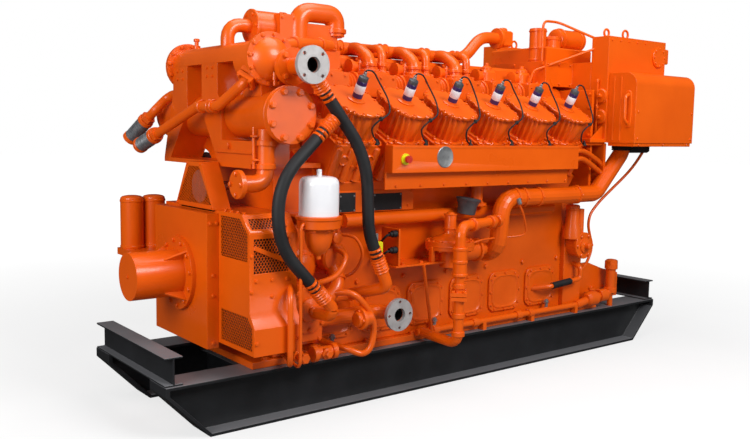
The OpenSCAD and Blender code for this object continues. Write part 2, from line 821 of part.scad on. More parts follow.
rail_x0 = rail_middle_x - rail_length / 2;
rail_x1 = rail_middle_x + rail_length / 2;
stop_x = rail_x0 + stop_from_end;
stop_z = rail_z + rail_height / 2;
stop_room = 2;
lip_face = rail_face - lip_setback;
module side_rail_body() {
    block([rail_x0, -rail_face, rail_z], [rail_x1, -rail_back, rail_z + rail_height]);
    block([rail_x0 - lip_t, -lip_face, rail_z - lip_height],
        [rail_x1 - lip_setback, -lip_face + lip_t, rail_z]);
    for (i = [1 : cylinders - 2])
        translate([first_x + i * cylinder_pitch, 0, 0]) difference() {
            block([-bracket_t / 2, -rail_back - cut_over, rail_z + rail_height / 4],
                [bracket_t / 2, -head_width, rail_z + rail_height * 3 / 4]);
            near_bank() block([-bracket_t, -head_width / 2, 0], [bracket_t, head_width, coil_top]);
        }
}
module side_rail_near() color(orange) difference() {
    side_rail_body();
    bar_y(-rail_face - cut_over, -rail_face + stop_stem_seat + stop_travel + stop_room, stop_x, stop_z,
        stop_stem_radius + running_gap);
}

module side_rail_far() color(orange) far_side() side_rail_body();

header_y = crankcase_half + header_gap + header_radius;
module water_header_near() color(orange) {
    bar_x(first_x, rear_x - block_margin, -header_y, crank_z + header_above_crank, header_radius);
    each_cylinder()
        bar_y(-header_y, -crankcase_half, 0, crank_z + header_above_crank, header_stub_radius);
}

module water_header_far() color(orange) far_side() water_header_near();

module stop_ring() color(signal_yellow) difference() {
    union() {
        bar_y(-rail_face - stop_ring_t, -rail_face, stop_x, stop_z, stop_ring_radius);
        bar_y(-rail_face - stop_ring_t - stop_collar_length, -rail_face, stop_x, stop_z, stop_collar_radius);
    }
    bar_y(-rail_face - 2 * stop_ring_t - stop_collar_length, -rail_face + stop_ring_t, stop_x, stop_z,
        stop_stem_radius + running_gap);
}

stop_head_y = -rail_face - stop_ring_t - stop_collar_length - stop_travel - stop_room / 2;
module stop_button() color(signal_red) {
    bar_y(stop_head_y, -rail_face + stop_stem_seat, stop_x, stop_z, stop_stem_radius);
    bar_y(stop_head_y - stop_head_t, stop_head_y, stop_x, stop_z, stop_head_radius);
}

shaft_room = 2;
module gear_case() color(orange) difference() {
    block([gear_x, -gear_half, foot_top], [front_x, gear_half, gear_z1]);
    bar_x(gear_x - cut_over, gear_x + shaft_seat + shaft_room, 0, crank_z, crank_shaft_radius + running_gap);
    bar_x(gear_x - cut_over, gear_x + shaft_seat + shaft_room, -upper_pulley_y, upper_pulley_z,
        upper_shaft_radius + running_gap);
}

// outline of the belt guard in Y and Z, drawn in by the given sheet thickness
shoulder_low = guard_z0 + guard_box_height;
shoulder_high = shoulder_low + guard_step_rise;
guard_side = guard_reach - guard_step;
slant_z = guard_z1 - guard_slant;
function guard_outline(t) = [[-guard_reach + t, guard_z0 + t], [-guard_reach + t, shoulder_low],
    [-guard_side + t, shoulder_high], [-guard_side + t, slant_z], [-guard_top_reach + t, guard_z1 - t],
    [guard_far_reach - t, guard_z1 - t], [guard_far_reach - t, guard_z0 + t]];
window_mid = (shoulder_high + guard_z1) / 2;
window_y = plate_half + guard_bar;
// service side of each window in the front sheet, from its foot to its head
front_windows = [
    [[-guard_side + guard_bar, window_mid + guard_bar / 2], [-guard_side + guard_bar, slant_z],
        [-guard_top_reach + guard_bar, guard_z1 - guard_bar]],
    [[-guard_reach + guard_bar, guard_z0 + guard_bar], [-guard_reach + guard_bar, shoulder_low],
        [-guard_side + guard_bar, shoulder_high - guard_bar]]];
// heights of the windows in the upright side and in the slanting side above it
side_windows = [[window_mid - 2 * guard_bar, slant_z - guard_bar],
    [slant_z + guard_bar, guard_z1 - guard_bar]];
side_window_x = [guard_x + guard_bar, gear_x - 2 * guard_bar];
// reach of the guard's side above its shoulder at height z
function guard_reach_at(z) = guard_side - (guard_side - guard_top_reach) * max(z - slant_z, 0) / guard_slant;
module front_window(w) polygon(concat(w, [[-window_y, w[len(w) - 1][1]], [-window_y, w[0][1]]]));
module belt_guard() color(orange) difference() {
    across(guard_x, gear_x) polygon(guard_outline(0));
    across(guard_x + guard_t, gear_x + cut_over) polygon(guard_outline(guard_t));
    for (w = front_windows) across(guard_x - cut_over, guard_x + guard_t + cut_over) front_window(w);
    for (w = side_windows) block([side_window_x[0], -guard_reach, w[0]], [side_window_x[1], -window_y, w[1]]);
    block([upper_x + guard_t, -upper_pulley_y - upper_foot / 2 + 4 * guard_t, guard_z1 - 2 * guard_t],
        [upper_x + upper_depth - guard_t, -upper_pulley_y + upper_foot / 2 - 4 * guard_t,
            guard_z1 + cut_over]);
}

// outline of the upper guard in Y and Z, drawn in by t on its sides and top
upper_x = guard_x - upper_ahead;
function upper_outline(t, low) = [[-upper_pulley_y - upper_foot / 2 + t, guard_z1 + low],
    [-upper_pulley_y - upper_top / 2 + t, guard_z1 + upper_height - t],
    [-upper_pulley_y + upper_top / 2 - t, guard_z1 + upper_height - t],
    [-upper_pulley_y + upper_foot / 2 - t, guard_z1 + low]];
module upper_guard() color(orange) difference() {
    across(upper_x, upper_x + upper_depth) polygon(upper_outline(0, 0));
    across(upper_x + guard_t, upper_x + upper_depth - guard_t) polygon(upper_outline(guard_t, -cut_over));
    across(upper_x - cut_over, upper_x + guard_t + cut_over) polygon(upper_outline(guard_bar, guard_bar));
    bar_x(upper_x + upper_depth - 2 * guard_t, upper_x + upper_depth + cut_over,
        -upper_pulley_y, upper_pulley_z, upper_shaft_radius + guard_t);
}

screen_t = 3;
module guard_screens() color(steel) {
    for (w = front_windows)
        across(guard_x + guard_t - screen_t, guard_x + guard_t) front_window(w);
    for (w = side_windows) across(side_window_x[0], side_window_x[1])
        polygon([for (side = [[w[0], screen_t], [w[1], screen_t], [w[1], 0], [w[0], 0]])
            [guard_t - side[1] - guard_reach_at(side[0]), side[0]]]);
    across(upper_x + guard_t - screen_t, upper_x + guard_t) polygon(upper_outline(guard_bar, guard_bar));
}

plate_low = 30;
module front_plate() color(orange)
    block([plate_x, -plate_half, guard_z0 - plate_low], [guard_x, plate_half, guard_z1 - plate_low / 2]);

module shaft_guard() color(orange) {
    bar_x(drum_x, plate_x, 0, crank_z, drum_radius);
    bar_x(plate_x - drum_flange_t, plate_x, 0, crank_z, drum_flange_radius);
    for (a = [45 : 90 : 315])
        translate([plate_x - drum_flange_t, 0, crank_z]) rotate([a, 0, 0])
            translate([0, gusset_t / 2, 0]) rotate([90, 0, 0]) linear_extrude(height = gusset_t)
                polygon([[0, drum_radius - gusset_t], [0, drum_flange_radius - gusset_t],
                    [-gusset_length, drum_radius + gusset_t / 6], [-gusset_length, drum_radius - gusset_t]]);
}

// pulley with a plain groove for the belt, and the shaft behind it
module pulley(y, z, radius, shaft_radius) difference() {
    union() {
        bar_x(pulley_x - pulley_width / 2, pulley_x + pulley_width / 2, y, z, radius + belt_t / 2);
        bar_x(pulley_x, gear_x + shaft_seat, y, z, shaft_radius);
    }
    difference() {
        bar_x(pulley_x - belt_width / 2 - running_gap, pulley_x + belt_width / 2 + running_gap, y, z,
            radius + belt_t);
        bar_x(pulley_x - pulley_width, pulley_x + pulley_width, y, z, radius);
    }
}
module crank_pulley() color(steel) pulley(0, crank_z, crank_pulley_radius, crank_shaft_radius);

module upper_pulley() color(steel)
    pulley(-upper_pulley_y, upper_pulley_z, upper_pulley_radius, upper_shaft_radius);

// loop around both pulleys, standing off their grooves by grow
module belt_loop(grow) hull() {
    translate([0, crank_z]) circle(r = crank_pulley_radius + grow);
    translate([-upper_pulley_y, upper_pulley_z]) circle(r = upper_pulley_radius + grow);
}
module drive_belt() color(rubber) across(pulley_x - belt_width / 2, pulley_x + belt_width / 2) difference() {
    belt_loop(belt_gap + belt_t);
    belt_loop(belt_gap);
}

can_base_t = 40;
can_rise = 70;
can_gap = 2;
can_off = 238;
can_z = crank_z + can_rise;
can_x = guard_x - can_ahead;
can_y = guard_far_reach + can_off;
module breather_cans() color(orange) {
    block([can_x - can_radius, guard_far_reach, can_z - can_base_t],
        [can_x + 3 * can_radius + can_gap, can_y + can_radius, can_z]);
    for (i = [0, 1])
        translate([can_x + i * (2 * can_radius + can_gap), can_y, can_z])
            cylinder(h = can_height, r = can_radius);
}

frame_x0 = tank_x - frame_depth / 2;
frame_x1 = tank_x + frame_depth / 2;
column_top = tank_z - tank_flat;
column_front = column_far - column_width;
middle_far = column_front - column_spacing + column_width;
middle_near = middle_far - column_width;
waist_z = shelf_z1 + column_waist;
saddle_y = 190;
saddle_half = 44;
flange_room = 5;
back_t = 14;
back_height = 160;
back_arch = 146;
back_arch_y = 440;
back_arch_sink = 89;
// far column, spread outward to a narrow foot, as seen along X
far_column = [[column_front, column_top], [column_front, waist_z],
    [column_far + foot_spread - column_foot, shelf_z1], [column_far + foot_spread, shelf_z1],
    [column_far, tank_z - tank_flange_radius - flange_room], [column_far, column_top]];
// middle column, narrowed to a foot at its near edge
middle_column = [[middle_near, column_top], [middle_near, waist_z + column_foot],
    [middle_near - column_foot / 2, waist_z + column_foot / 2], [middle_near - column_foot / 2, shelf_z1],
    [middle_near, shelf_z1], [middle_far, waist_z], [middle_far, column_top]];
module frame_columns() {
    across(frame_x0, frame_x1) polygon(far_column);
    across(frame_x0, frame_x1) polygon(middle_column);
}
// the shelf on the gear case, two columns up to the tank, a low beam, a pierced back plate, and a saddle
module cooler_frame() color(orange) {
    block([frame_x0, -tank_half, gear_z1], [front_x, column_far + foot_spread, shelf_z1]);
    difference() {
        block([frame_x1 - back_t, middle_far, shelf_z1],
            [frame_x1, column_far + foot_spread, shelf_z1 + back_height]);
        bar_x(frame_x0, front_x, back_arch_y, shelf_z1 - back_arch_sink, back_arch);
        frame_columns();
        bar_y(-cooler_reach, cooler_reach, cooler_x, cooler_z, cooler_radius + seat_gap);
    }
    difference() {
        union() {
            frame_columns();
            block([frame_x0, -sill_reach, shelf_z1], [frame_x1, middle_near, shelf_z1 + sill_height]);
            block([tank_x - saddle_half, -tank_half, cooler_z],
                [tank_x + saddle_half, saddle_y - tank_half, tank_z]);
        }
        bar_y(-cooler_reach, cooler_reach, cooler_x, cooler_z, cooler_radius + seat_gap);
        bar_y(-tank_half - cut_over, saddle_y - tank_half, tank_x, tank_z, tank_radius + seat_gap);
    }
}

nozzle_t = 20;
dome_sides = 64;
dome_ball = (dome_radius * dome_radius + dome_height * dome_height) / (2 * dome_height);
// the tank is round over the saddle and flat underneath on the columns, with a flange at each end and a dome
module coolant_tank() color(orange) {
    difference() {
        bar_y(-tank_half, tank_far, tank_x, tank_z, tank_radius);
        block([tank_x - 2 * tank_radius, saddle_y - tank_half, tank_z - 2 * tank_radius],
            [tank_x + 2 * tank_radius, tank_far, column_top]);
    }
    bar_y(-tank_end, -tank_half, tank_x, tank_z, tank_flange_radius);
    bar_y(tank_far, tank_far + tank_flange_t, tank_x, tank_z, tank_flange_radius);
    intersection() {
        translate([tank_x, -tank_end + dome_ball - dome_height, tank_z])
            sphere(r = dome_ball, $fn = dome_sides);
        bar_y(-tank_end - dome_height - cut_over, -tank_half, tank_x, tank_z, dome_radius + cut_over);
    }
    bar_y(-nozzle_reach, -tank_half, outlet_x, outlet_z, outlet_radius);
    bar_y(-nozzle_reach, -nozzle_reach + nozzle_t, outlet_x, outlet_z, flange_radius);
}

neck_in = 150;
neck_sink = 20;
neck_run = 45;
cooler_neck = [[cooler_x, neck_in - hose_y, cooler_z - neck_sink],
    past_start(hose_lower_route, neck_run) + [neck_sink, neck_in, 0],
    past_start(hose_lower_route, neck_run), hose_lower_route[0]];
neck_bend = 40;
module oil_cooler() color(orange) {
    bar_y(-cooler_reach, cooler_reach, cooler_x, cooler_z, cooler_radius);
    for (side = [-1, 1])
        bar_y(side * cooler_reach - (side > 0 ? cooler_cover_t : 0),
            side * cooler_reach + (side < 0 ? cooler_cover_t : 0), cooler_x, cooler_z, cooler_cover_radius);
    pipe_run(cooler_neck, neck_radius, neck_bend);
}

branch_run = 130;
// the outlet pipe carries the steel flange and, on a branch, the upper hose
module outlet_pipe() color(orange) difference() {
    union() {
        bar_y(-outlet_face + flange_t, -nozzle_reach, outlet_x, outlet_z, outlet_radius);
        bar_y(-nozzle_reach - nozzle_t, -nozzle_reach, outlet_x, outlet_z, flange_radius);
        pipe_run([past_start(hose_upper_route, branch_run), hose_upper_route[0]], neck_radius, neck_bend);
    }
    bar_y(-outlet_face, -outlet_face + pipe_mouth, outlet_x, outlet_z, flange_bore - pipe_step);
}

module outlet_flange() color(steel) pipe_flange(outlet_x, -outlet_face, outlet_z, 45);

// the near bypass leaves the tank and crosses the frame's face, the far one leaves the far column's side
bypass_in = 45;
bypass_off = 70;
bypass_face = frame_x0 - bypass_off;
bypass_rise = 43;
bypass_level = cooler_z + bypass_rise;
bypass_turn = 20;
bypass_fall = 130;
bypass_near_y = 280;
bypass_middle_y = 40;
bypass_end_y = column_far - bypass_in;
bypass_end_off = 63;
bypass_end_fall = 163;
bypass_near_route = [[tank_x, bypass_in - tank_half, tank_z],
    [frame_x0 - bypass_turn, bypass_in - tank_half, tank_z - bypass_fall],
    [bypass_face, -bypass_near_y, bypass_level], [bypass_face, -bypass_middle_y, bypass_level],
    [bypass_face - bypass_end_off, bypass_end_y, bypass_level - bypass_end_fall]];
bypass_far_ahead = 65;
bypass_far_x = tank_x - bypass_far_ahead;
bypass_far_y = column_far + 2 * bypass_far_ahead;
bypass_far_fall = 162;
bypass_far_z = tank_z - bypass_far_fall;
bypass_far_drop = [-95, 0, -93];
bypass_far_tail = [-29, 70, -62];
bypass_far_turn = [bypass_far_x, bypass_far_y, bypass_far_z];
bypass_far_route = [[bypass_far_x, bypass_end_y, bypass_far_z], bypass_far_turn,
    bypass_far_turn + bypass_far_drop,
    bypass_far_turn + bypass_far_drop + bypass_far_tail];
// the straight piece that carries on from the end of a route
function carry_on(route, run) = let (n = len(route) - 1) [route[n], route[n] + heading(route, n - 1) * run];
bypass_bend = 60;
module bypass_pipes() color(orange) difference() {
    union() {
        pipe_run(bypass_near_route, bypass_radius, bypass_bend);
        pipe_run(bypass_far_route, bypass_radius, bypass_bend);
    }
    frame_columns();
    bar_y(-tank_half, tank_far, tank_x, tank_z, tank_radius + seat_gap);
}
module ribbed_connectors() color(steel) {
    pipe_run(carry_on(bypass_near_route, connector_run), connector_radius, bypass_bend);
    pipe_run(carry_on(bypass_far_route, connector_run), connector_radius, bypass_bend);
}

mixer_z = crank_z + mixer_above_crank;
mixer_neck = 60;
mixer_base_z = manifold_z1 + saddle_height;
mixer_box_ahead = 52;
mixer_sole = 40;
mixer_drum_x = mixer_base_x - mixer_length - mixer_neck;
elbow_rise = 98;
elbow_top = mixer_z + elbow_rise;
elbow_ahead = 31;
elbow_reach = 259;
elbow_off = 100;
elbow_y = mixer_y + elbow_off;
elbow_x = mixer_base_x - elbow_ahead;
rear_box_top = mixer_z + elbow_rise / 3;
elbow_route = [[elbow_x, -elbow_y, mixer_base_z], [elbow_x, -elbow_y, elbow_top],
    [elbow_x + elbow_reach, -elbow_y, elbow_top], [elbow_x + elbow_reach, -elbow_y, mixer_z - elbow_ahead]];
elbow_bend = 105;
arch_bend = 75;
arch_x = tank_x - arch_ahead;
arch_route = [[arch_x, -mixer_y, tank_z], [arch_x, -mixer_y, mixer_z],
    [mixer_drum_x + arch_ahead, -mixer_y, mixer_z]];
module mixer() color(orange) difference() {
    union() {
        block([mixer_base_x, -manifold_y, manifold_z1], [mixer_back_x, manifold_y, mixer_base_z]);
        block([mixer_base_x - mixer_box_ahead - mixer_box_length, -mixer_y - mixer_box_width / 2,
            mixer_base_z - mixer_sole],
            [mixer_base_x + cut_over, -mixer_y + mixer_box_width / 2, mixer_base_z]);
        bar_x(mixer_drum_x, mixer_drum_x + mixer_length, -mixer_y, mixer_z, mixer_radius);
        bar_x(mixer_drum_x, mixer_base_x + cut_over, -mixer_y, mixer_z, mixer_pipe_radius);
        block([mixer_base_x - mixer_box_ahead - mixer_box_length, -mixer_y - mixer_box_width / 2,
            mixer_base_z],
            [mixer_base_x - mixer_box_ahead, -mixer_y + mixer_box_width / 2, mixer_z + mixer_radius * 4 / 5]);
        block([mixer_back_x - mixer_rear_length - elbow_ahead, -mixer_y - mixer_box_width / 2, mixer_base_z],
            [mixer_back_x - elbow_ahead, -mixer_y + mixer_box_width / 2, rear_box_top]);
        pipe_run(elbow_route, mixer_pipe_radius, elbow_bend);
        pipe_run(arch_route, arch_radius, arch_bend);
    }
    bar_y(-tank_half, tank_far, tank_x, tank_z, tank_radius + seat_gap);
}

filter_x = gear_x + filter_behind;
filter_z = crank_z + filter_rise;
filter_stud = 35;
filter_stud_radius = 14;
// drop below the crown and inset from the wall at each step of the can's shoulder
filter_shoulder = [[40, 0], [18, 8], [5, 28], [0, 65]];
filter_profile = concat([[0, filter_radius]],
    [for (step = filter_shoulder) [filter_height - step[0], filter_radius - step[1]]]);
module filter_can() color(white) translate([filter_x, -filter_reach, filter_z]) {
    for (i = [0 : len(filter_profile) - 2])
        translate([0, 0, filter_profile[i][0]])
            cylinder(h = filter_profile[i + 1][0] - filter_profile[i][0], r1 = filter_profile[i][1],
                r2 = filter_profile[i + 1][1]);
    translate([0, 0, filter_height]) cylinder(h = filter_stud, r = filter_stud_radius);
}

module filter_base() color(orange) {
    translate([filter_x, -filter_reach, filter_z - filter_base_height])
        cylinder(h = filter_base_height, r = filter_base_radius);
    translate([filter_x, -filter_reach, filter_z - filter_base_height - filter_cup])
        cylinder(h = filter_cup + cut_over, r = filter_base_radius / 2);
    block([filter_x - filter_base_radius / 2, -filter_reach, filter_z - filter_base_height],
        [filter_x + filter_base_radius / 2, -gear_half, filter_z - filter_base_height / 4]);
}

// coolant pump on the crankcase's side behind the gear case, with necks for both hoses and the inlet
pump_x = front_x - pump_ahead;
pump_z = crank_z - pump_below;
pump_face = gear_half + pump_depth;
inlet_x = front_x + inlet_behind;
inlet_z = crank_z - inlet_below;
inlet_y = crankcase_half + 90;
inlet_route = [[pump_x, -inlet_y, inlet_z], [inlet_x, -inlet_y, inlet_z],
    [inlet_x, flange_t - inlet_face, inlet_z]];
inlet_bend = 90;
upper_neck = [pump_x, 70 - pump_face, pump_z + 40];
upper_neck_run = [300, 0, 0];
lower_neck = [pump_x, 50 - pump_face, pump_z - 10];
pump_upper_route = [upper_neck, upper_neck + upper_neck_run, past_end(hose_upper_route, 190),
    past_end(hose_upper_route, 0)];
pump_lower_route = [lower_neck, [pump_x + 40, -hose_y, pump_z - 10], past_end(hose_lower_route, 150),
    past_end(hose_lower_route, 0)];
module coolant_pump() color(orange) difference() {
    union() {
        bar_y(-pump_face, -gear_half, pump_x, pump_z, pump_radius);
        pipe_run(inlet_route, outlet_radius, inlet_bend);
        pipe_run(pump_upper_route, neck_radius, neck_bend);
        pipe_run(pump_lower_route, neck_radius, neck_bend);
    }
    bar_y(-inlet_face, -inlet_face + pipe_mouth, inlet_x, inlet_z, flange_bore - pipe_step);
}

module inlet_flange() color(steel) pipe_flange(inlet_x, -inlet_face, inlet_z, 0);

module hose_upper() color(rubber) pipe_run(hose_upper_route, hose_radius, hose_bend);

module hose_lower() color(rubber) pipe_run(hose_lower_route, hose_radius, hose_bend);

regulator_x = front_x + regulator_behind;
regulator_z = crank_z + regulator_rise;
regulator_y = crankcase_half + regulator_off + regulator_radius;
tower_radius = 36;
tower_height = 175;
tower_foot = 62;
tower_cone = 24;
tower_crown = 20;
valve_radius = 62;
valve_drop = 110;
valve_neck_radius = 40;
module gas_regulator() color(orange) translate([regulator_x, -regulator_y, regulator_z]) {
    cylinder(h = regulator_depth, r = regulator_radius);
    translate([0, 0, regulator_depth]) cylinder(h = tower_cone, r1 = tower_foot, r2 = tower_radius);
    translate([0, 0, regulator_depth]) cylinder(h = tower_height - tower_crown, r = tower_radius);
    translate([0, 0, regulator_depth + tower_height - tower_crown])
        cylinder(h = tower_crown, r1 = tower_radius, r2 = tower_radius / 2);
    translate([0, 0, -valve_drop]) cylinder(h = valve_drop, r = valve_radius);
    bar_y(0, regulator_y - crankcase_half, 0, -valve_drop / 2, valve_neck_radius);
}

air_y = air_box_reach - air_inset;
air_x = front_x + air_behind;
air_z = crank_z + air_rise;
gas_x = front_x + gas_behind;
gas_out = 20;
gas_join = air_y + gas_out;
gas_below = 136;
gas_top = air_z - gas_below;
gas_room = 5;
gas_low = beam_height + gas_radius + gas_room;
gas_tail = 70;
drain_inset = 24;
drain_y = skid_width / 2 - drain_inset;
drain_z = beam_height + drain_rise;
drain_x0 = gas_x - gas_tail;
gas_route = [[air_x, -gas_join, gas_top], [gas_x, -gas_reach, gas_top], [gas_x, -gas_reach, gas_low],
    [drain_x0 + 2 * drain_radius, -drain_y, drain_z]];
gas_bend = 60;
gas_filter_z = crank_z - 41;
gas_filter_length = 168;
gas_filter_radius = 42;
module gas_pipe() color(orange) {
    difference() {
        pipe_run(gas_route, gas_radius, gas_bend);
        bar_x(drain_x0 - drain_radius, rear_x, -drain_y, drain_z, drain_radius + seat_gap);
        pipe_run(air_route, air_radius + seat_gap, air_bend);
    }
    translate([gas_x, -gas_reach, gas_filter_z]) cylinder(h = gas_filter_length, r = gas_filter_radius);
}

drain_past = 212;
drain_x1 = rear_x + drain_past;
clip_half = 15;
clip_end = 110;
clips = 4;
clip_step = (drain_x1 - drain_x0 - 2 * clip_end) / (clips - 1);
stub_behind = 330;
stub_in = 20;
stub_height = 320;
stub_cap = 30;
stub_cap_radius = 28;
// drain pipe on its clips along the skid, and the capped stub behind it
module drain_pipe() color(orange) {
    bar_x(drain_x0, drain_x1, -drain_y, drain_z, drain_radius);
    for (i = [0 : clips - 1])
        translate([drain_x0 + clip_end + i * clip_step, 0, 0])
            block([-clip_half, -drain_y - drain_radius, beam_height],
                [clip_half, -drain_y + drain_radius, drain_z]);
    translate([drain_x1 + stub_behind, stub_in - drain_y, beam_height]) {
        cylinder(h = stub_height, r = drain_radius);
        translate([0, 0, stub_height - stub_cap / 2]) cylinder(h = stub_cap, r = stub_cap_radius);
    }
}

air_low = crank_z + 30;
air_lean = 34;
air_turn_x = rear_x + 102;
air_end_x = rear_x + 392;
air_end_z = air_box_z - stand_t;
air_route = [[air_x, -crankcase_half, air_low], [air_x, -air_y, air_low], [air_x + air_lean, -air_y, air_z],
    [air_turn_x, -air_y, air_z], [air_end_x, -air_y, air_end_z - 65], [air_end_x, -air_y, air_end_z]];
module air_pipe() color(orange) pipe_run(air_route, air_radius, air_bend);

housing_x1 = rear_x + housing_depth;
housing_shoulder = crank_z + 110;
module flywheel_housing() color(orange) {
    across(rear_x, housing_x1) polygon([[-housing_half, foot_top], [housing_half, foot_top],
        [housing_half, housing_shoulder], [plenum_half, crank_z + housing_top],
        [-plenum_half, crank_z + housing_top], [-housing_half, housing_shoulder]]);
    bar_x(housing_x1, housing_x1 + flywheel_t, 0, crank_z, flywheel_radius);
    bar_x(housing_x1, housing_x1 + 2 * flywheel_t, 0, crank_z, flywheel_radius / 3);
}

starter_z = crank_z + 10;
starter_rise = 260;
module starter_drive() color(orange) {
    bar_y(-housing_half - starter_length, -housing_half, rear_x + housing_depth / 2, starter_z,
        starter_radius);
    translate([rear_x + housing_depth / 2, -housing_half - starter_length / 2, starter_z])
        cylinder(h = starter_rise, r = starter_radius / 3);
}

module air_box_near() color(orange)
    block([air_box_x, -air_box_reach, air_box_z],
        [air_box_x + air_box_length, -air_box_reach + air_box_depth, air_box_z + air_box_height]);

module air_box_far() color(orange) far_side() air_box_near();

// post on the flywheel housing, with a shelf that carries both air boxes
post_half = 120;
post_setback = 10;
module air_stand() color(orange) {
    block([rear_x + post_setback, -air_box_reach, air_box_z - stand_t],
        [air_box_x + air_box_length, air_box_reach, air_box_z]);
    block([rear_x + post_setback, -post_half, crank_z + housing_top], [housing_x1, post_half, air_box_z]);
}

hood_setback = 20;
hood_x0 = air_box_x + hood_setback;
hood_z0 = air_box_z - stand_t;
hood_outer = air_box_reach + hood_depth;
module intake_hood() {
    difference() {
        block([hood_x0, -hood_outer, hood_z0],
            [hood_x0 + hood_length, -air_box_reach, hood_z0 + hood_height]);
        difference() {
            block([hood_x0 - cut_over, -hood_outer - cut_over, hood_z0 + hood_height - hood_corner],
                [hood_x0 + hood_length + cut_over, -hood_outer + hood_corner,
                    hood_z0 + hood_height + cut_over]);
            bar_x(hood_x0 - 2 * cut_over, hood_x0 + hood_length + 2 * cut_over, -hood_outer + hood_corner,
                hood_z0 + hood_height - hood_corner, hood_corner);
        }
    }
}
module intake_hoods() color(orange) both_sides() intake_hood();

plenum_x0 = air_box_x - plenum_length;
duct_above = 300;
duct_low = air_box_z + duct_above;
duct_length = 405;
canister_x = 75;
canister_radius = 60;
canister_height = 240;
pot_x = 215;
pot_radius = 72;
pot_height = 190;
module intake_box() color(orange) {
    block([plenum_x0, -plenum_half, manifold_z1], [air_box_x, plenum_half, manifold_z1 + plenum_height]);
    block([air_box_x, air_box_depth - air_box_reach, duct_low],
        [air_box_x + duct_length, air_box_reach - air_box_depth, manifold_z1 + plenum_height]);
    translate([plenum_x0 + canister_x, -plenum_half / 2, manifold_z1 + plenum_height])
        cylinder(h = canister_height, r = canister_radius);
    translate([plenum_x0 + pot_x, -plenum_half / 2, manifold_z1 + plenum_height])
        cylinder(h = pot_height, r = pot_radius);
}

skid_beam_near();
skid_beam_far();
skid_crossbeams();
skid_ties();
engine_base();
crankcase();
crankcase_doors();
cylinder_heads_near();
cylinder_heads_far();
rocker_covers_near();
rocker_covers_far();
ignition_coils();
ignition_leads();
exhaust_manifold_near();
exhaust_manifold_far();
water_pipe();
side_rail_near();
side_rail_far();
water_header_near();
water_header_far();
stop_ring();
stop_button();
gear_case();
belt_guard();
upper_guard();
guard_screens();
front_plate();
shaft_guard();
crank_pulley();
upper_pulley();
drive_belt();
breather_cans();
cooler_frame();
coolant_tank();
oil_cooler();
outlet_pipe();
outlet_flange();
bypass_pipes();
ribbed_connectors();
mixer();
filter_can();
filter_base();
coolant_pump();
inlet_flange();
hose_upper();
hose_lower();
gas_regulator();
gas_pipe();
drain_pipe();
air_pipe();
flywheel_housing();
starter_drive();
air_box_near();
air_box_far();
air_stand();
intake_hoods();
intake_box();
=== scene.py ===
"""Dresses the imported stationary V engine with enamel, bolts, screens, hoses, coils, leads and fittings."""

import math

import bmesh
import bpy
import numpy as np
from mathutils import Matrix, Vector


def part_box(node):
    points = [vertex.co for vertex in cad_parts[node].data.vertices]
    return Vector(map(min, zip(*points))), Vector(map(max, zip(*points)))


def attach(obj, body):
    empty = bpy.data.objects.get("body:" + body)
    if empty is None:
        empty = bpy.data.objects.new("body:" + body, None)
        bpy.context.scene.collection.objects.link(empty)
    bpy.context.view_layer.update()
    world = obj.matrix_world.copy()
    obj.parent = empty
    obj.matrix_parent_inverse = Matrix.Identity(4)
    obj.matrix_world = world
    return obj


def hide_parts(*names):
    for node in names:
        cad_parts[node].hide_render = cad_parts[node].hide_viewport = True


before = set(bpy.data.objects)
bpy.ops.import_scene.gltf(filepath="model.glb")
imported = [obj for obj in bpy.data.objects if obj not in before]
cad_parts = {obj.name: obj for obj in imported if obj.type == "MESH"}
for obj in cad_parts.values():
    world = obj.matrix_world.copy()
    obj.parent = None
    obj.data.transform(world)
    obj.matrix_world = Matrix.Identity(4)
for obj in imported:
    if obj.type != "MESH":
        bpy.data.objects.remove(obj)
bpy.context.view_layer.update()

bl_info = {
    "name": "Stationary V Engine Dressing",
    "version": (1, 0, 0),
    "blender": (4, 5, 0),
    "location": "View3D > Sidebar > Engine",
    "description": "Enamel, fasteners, screens, hoses and fittings for a stationary V engine on its skid",
    "category": "Add Mesh",
}

CRANK_Z = 0.79
BANK = math.radians(30.0)
PITCH = 0.3556
CYLINDER_X = -0.96 + PITCH * np.arange(6)
HEAD_TOP = 0.925
COVER_TOP = 1.12
MERGE_GAP = 2e-5
FLAT_ANGLE = math.radians(0.6)
CAST_ANGLE = math.radians(32)
MADE_ANGLE = math.radians(35)
BEVEL_ANGLE = math.radians(38)
FAR = 9.0
TINY = 1e-9
SENSOR_WIDTH = 36.0
FOCAL_PIXELS = 844
PHOTO_PIXELS = 750
EYE = (-3.748, -4.332, 1.6)
X, Y, Z = np.eye(3)
FINISH = {}


# Shapes


def mm(text):
    """Points written in millimetres, with a comma between each two, as an array in metres."""
    return np.array([point.split() for point in text.split(",")], float) / 1000


def grid_faces(rows, cols, closed):
    """Quads of a grid stored row by row: a point, its next in the row and the two beside them in the next."""
    i, j = np.meshgrid(np.arange(rows - 1), np.arange(cols if closed else cols - 1), indexing="ij")
    k = (j + 1) % cols
    return np.stack([i * cols + j, i * cols + k, (i + 1) * cols + k, (i + 1) * cols + j], -1).reshape(-1, 4)


def copies(faces, count, stride):
    """The same faces for each of count copies of a shape that has stride points."""
    return (np.arange(count)[:, None, None] * stride + faces[None]).reshape(-1, faces.shape[1])


def skin(rows, cols, count):
    """Faces of count closed sleeves: the grid between their rings, and one face over each end."""
    ring = np.arange(cols)
    parts = [grid_faces(rows, cols, True), ring[::-1][None], ((rows - 1) * cols + ring)[None]]
    return [copies(part, count, rows * cols) for part in parts]


def unit(v):
    """Vectors scaled to length one along their last axis."""
    v = np.asarray(v, float)
    return v / np.linalg.norm(v, axis=-1, keepdims=True)


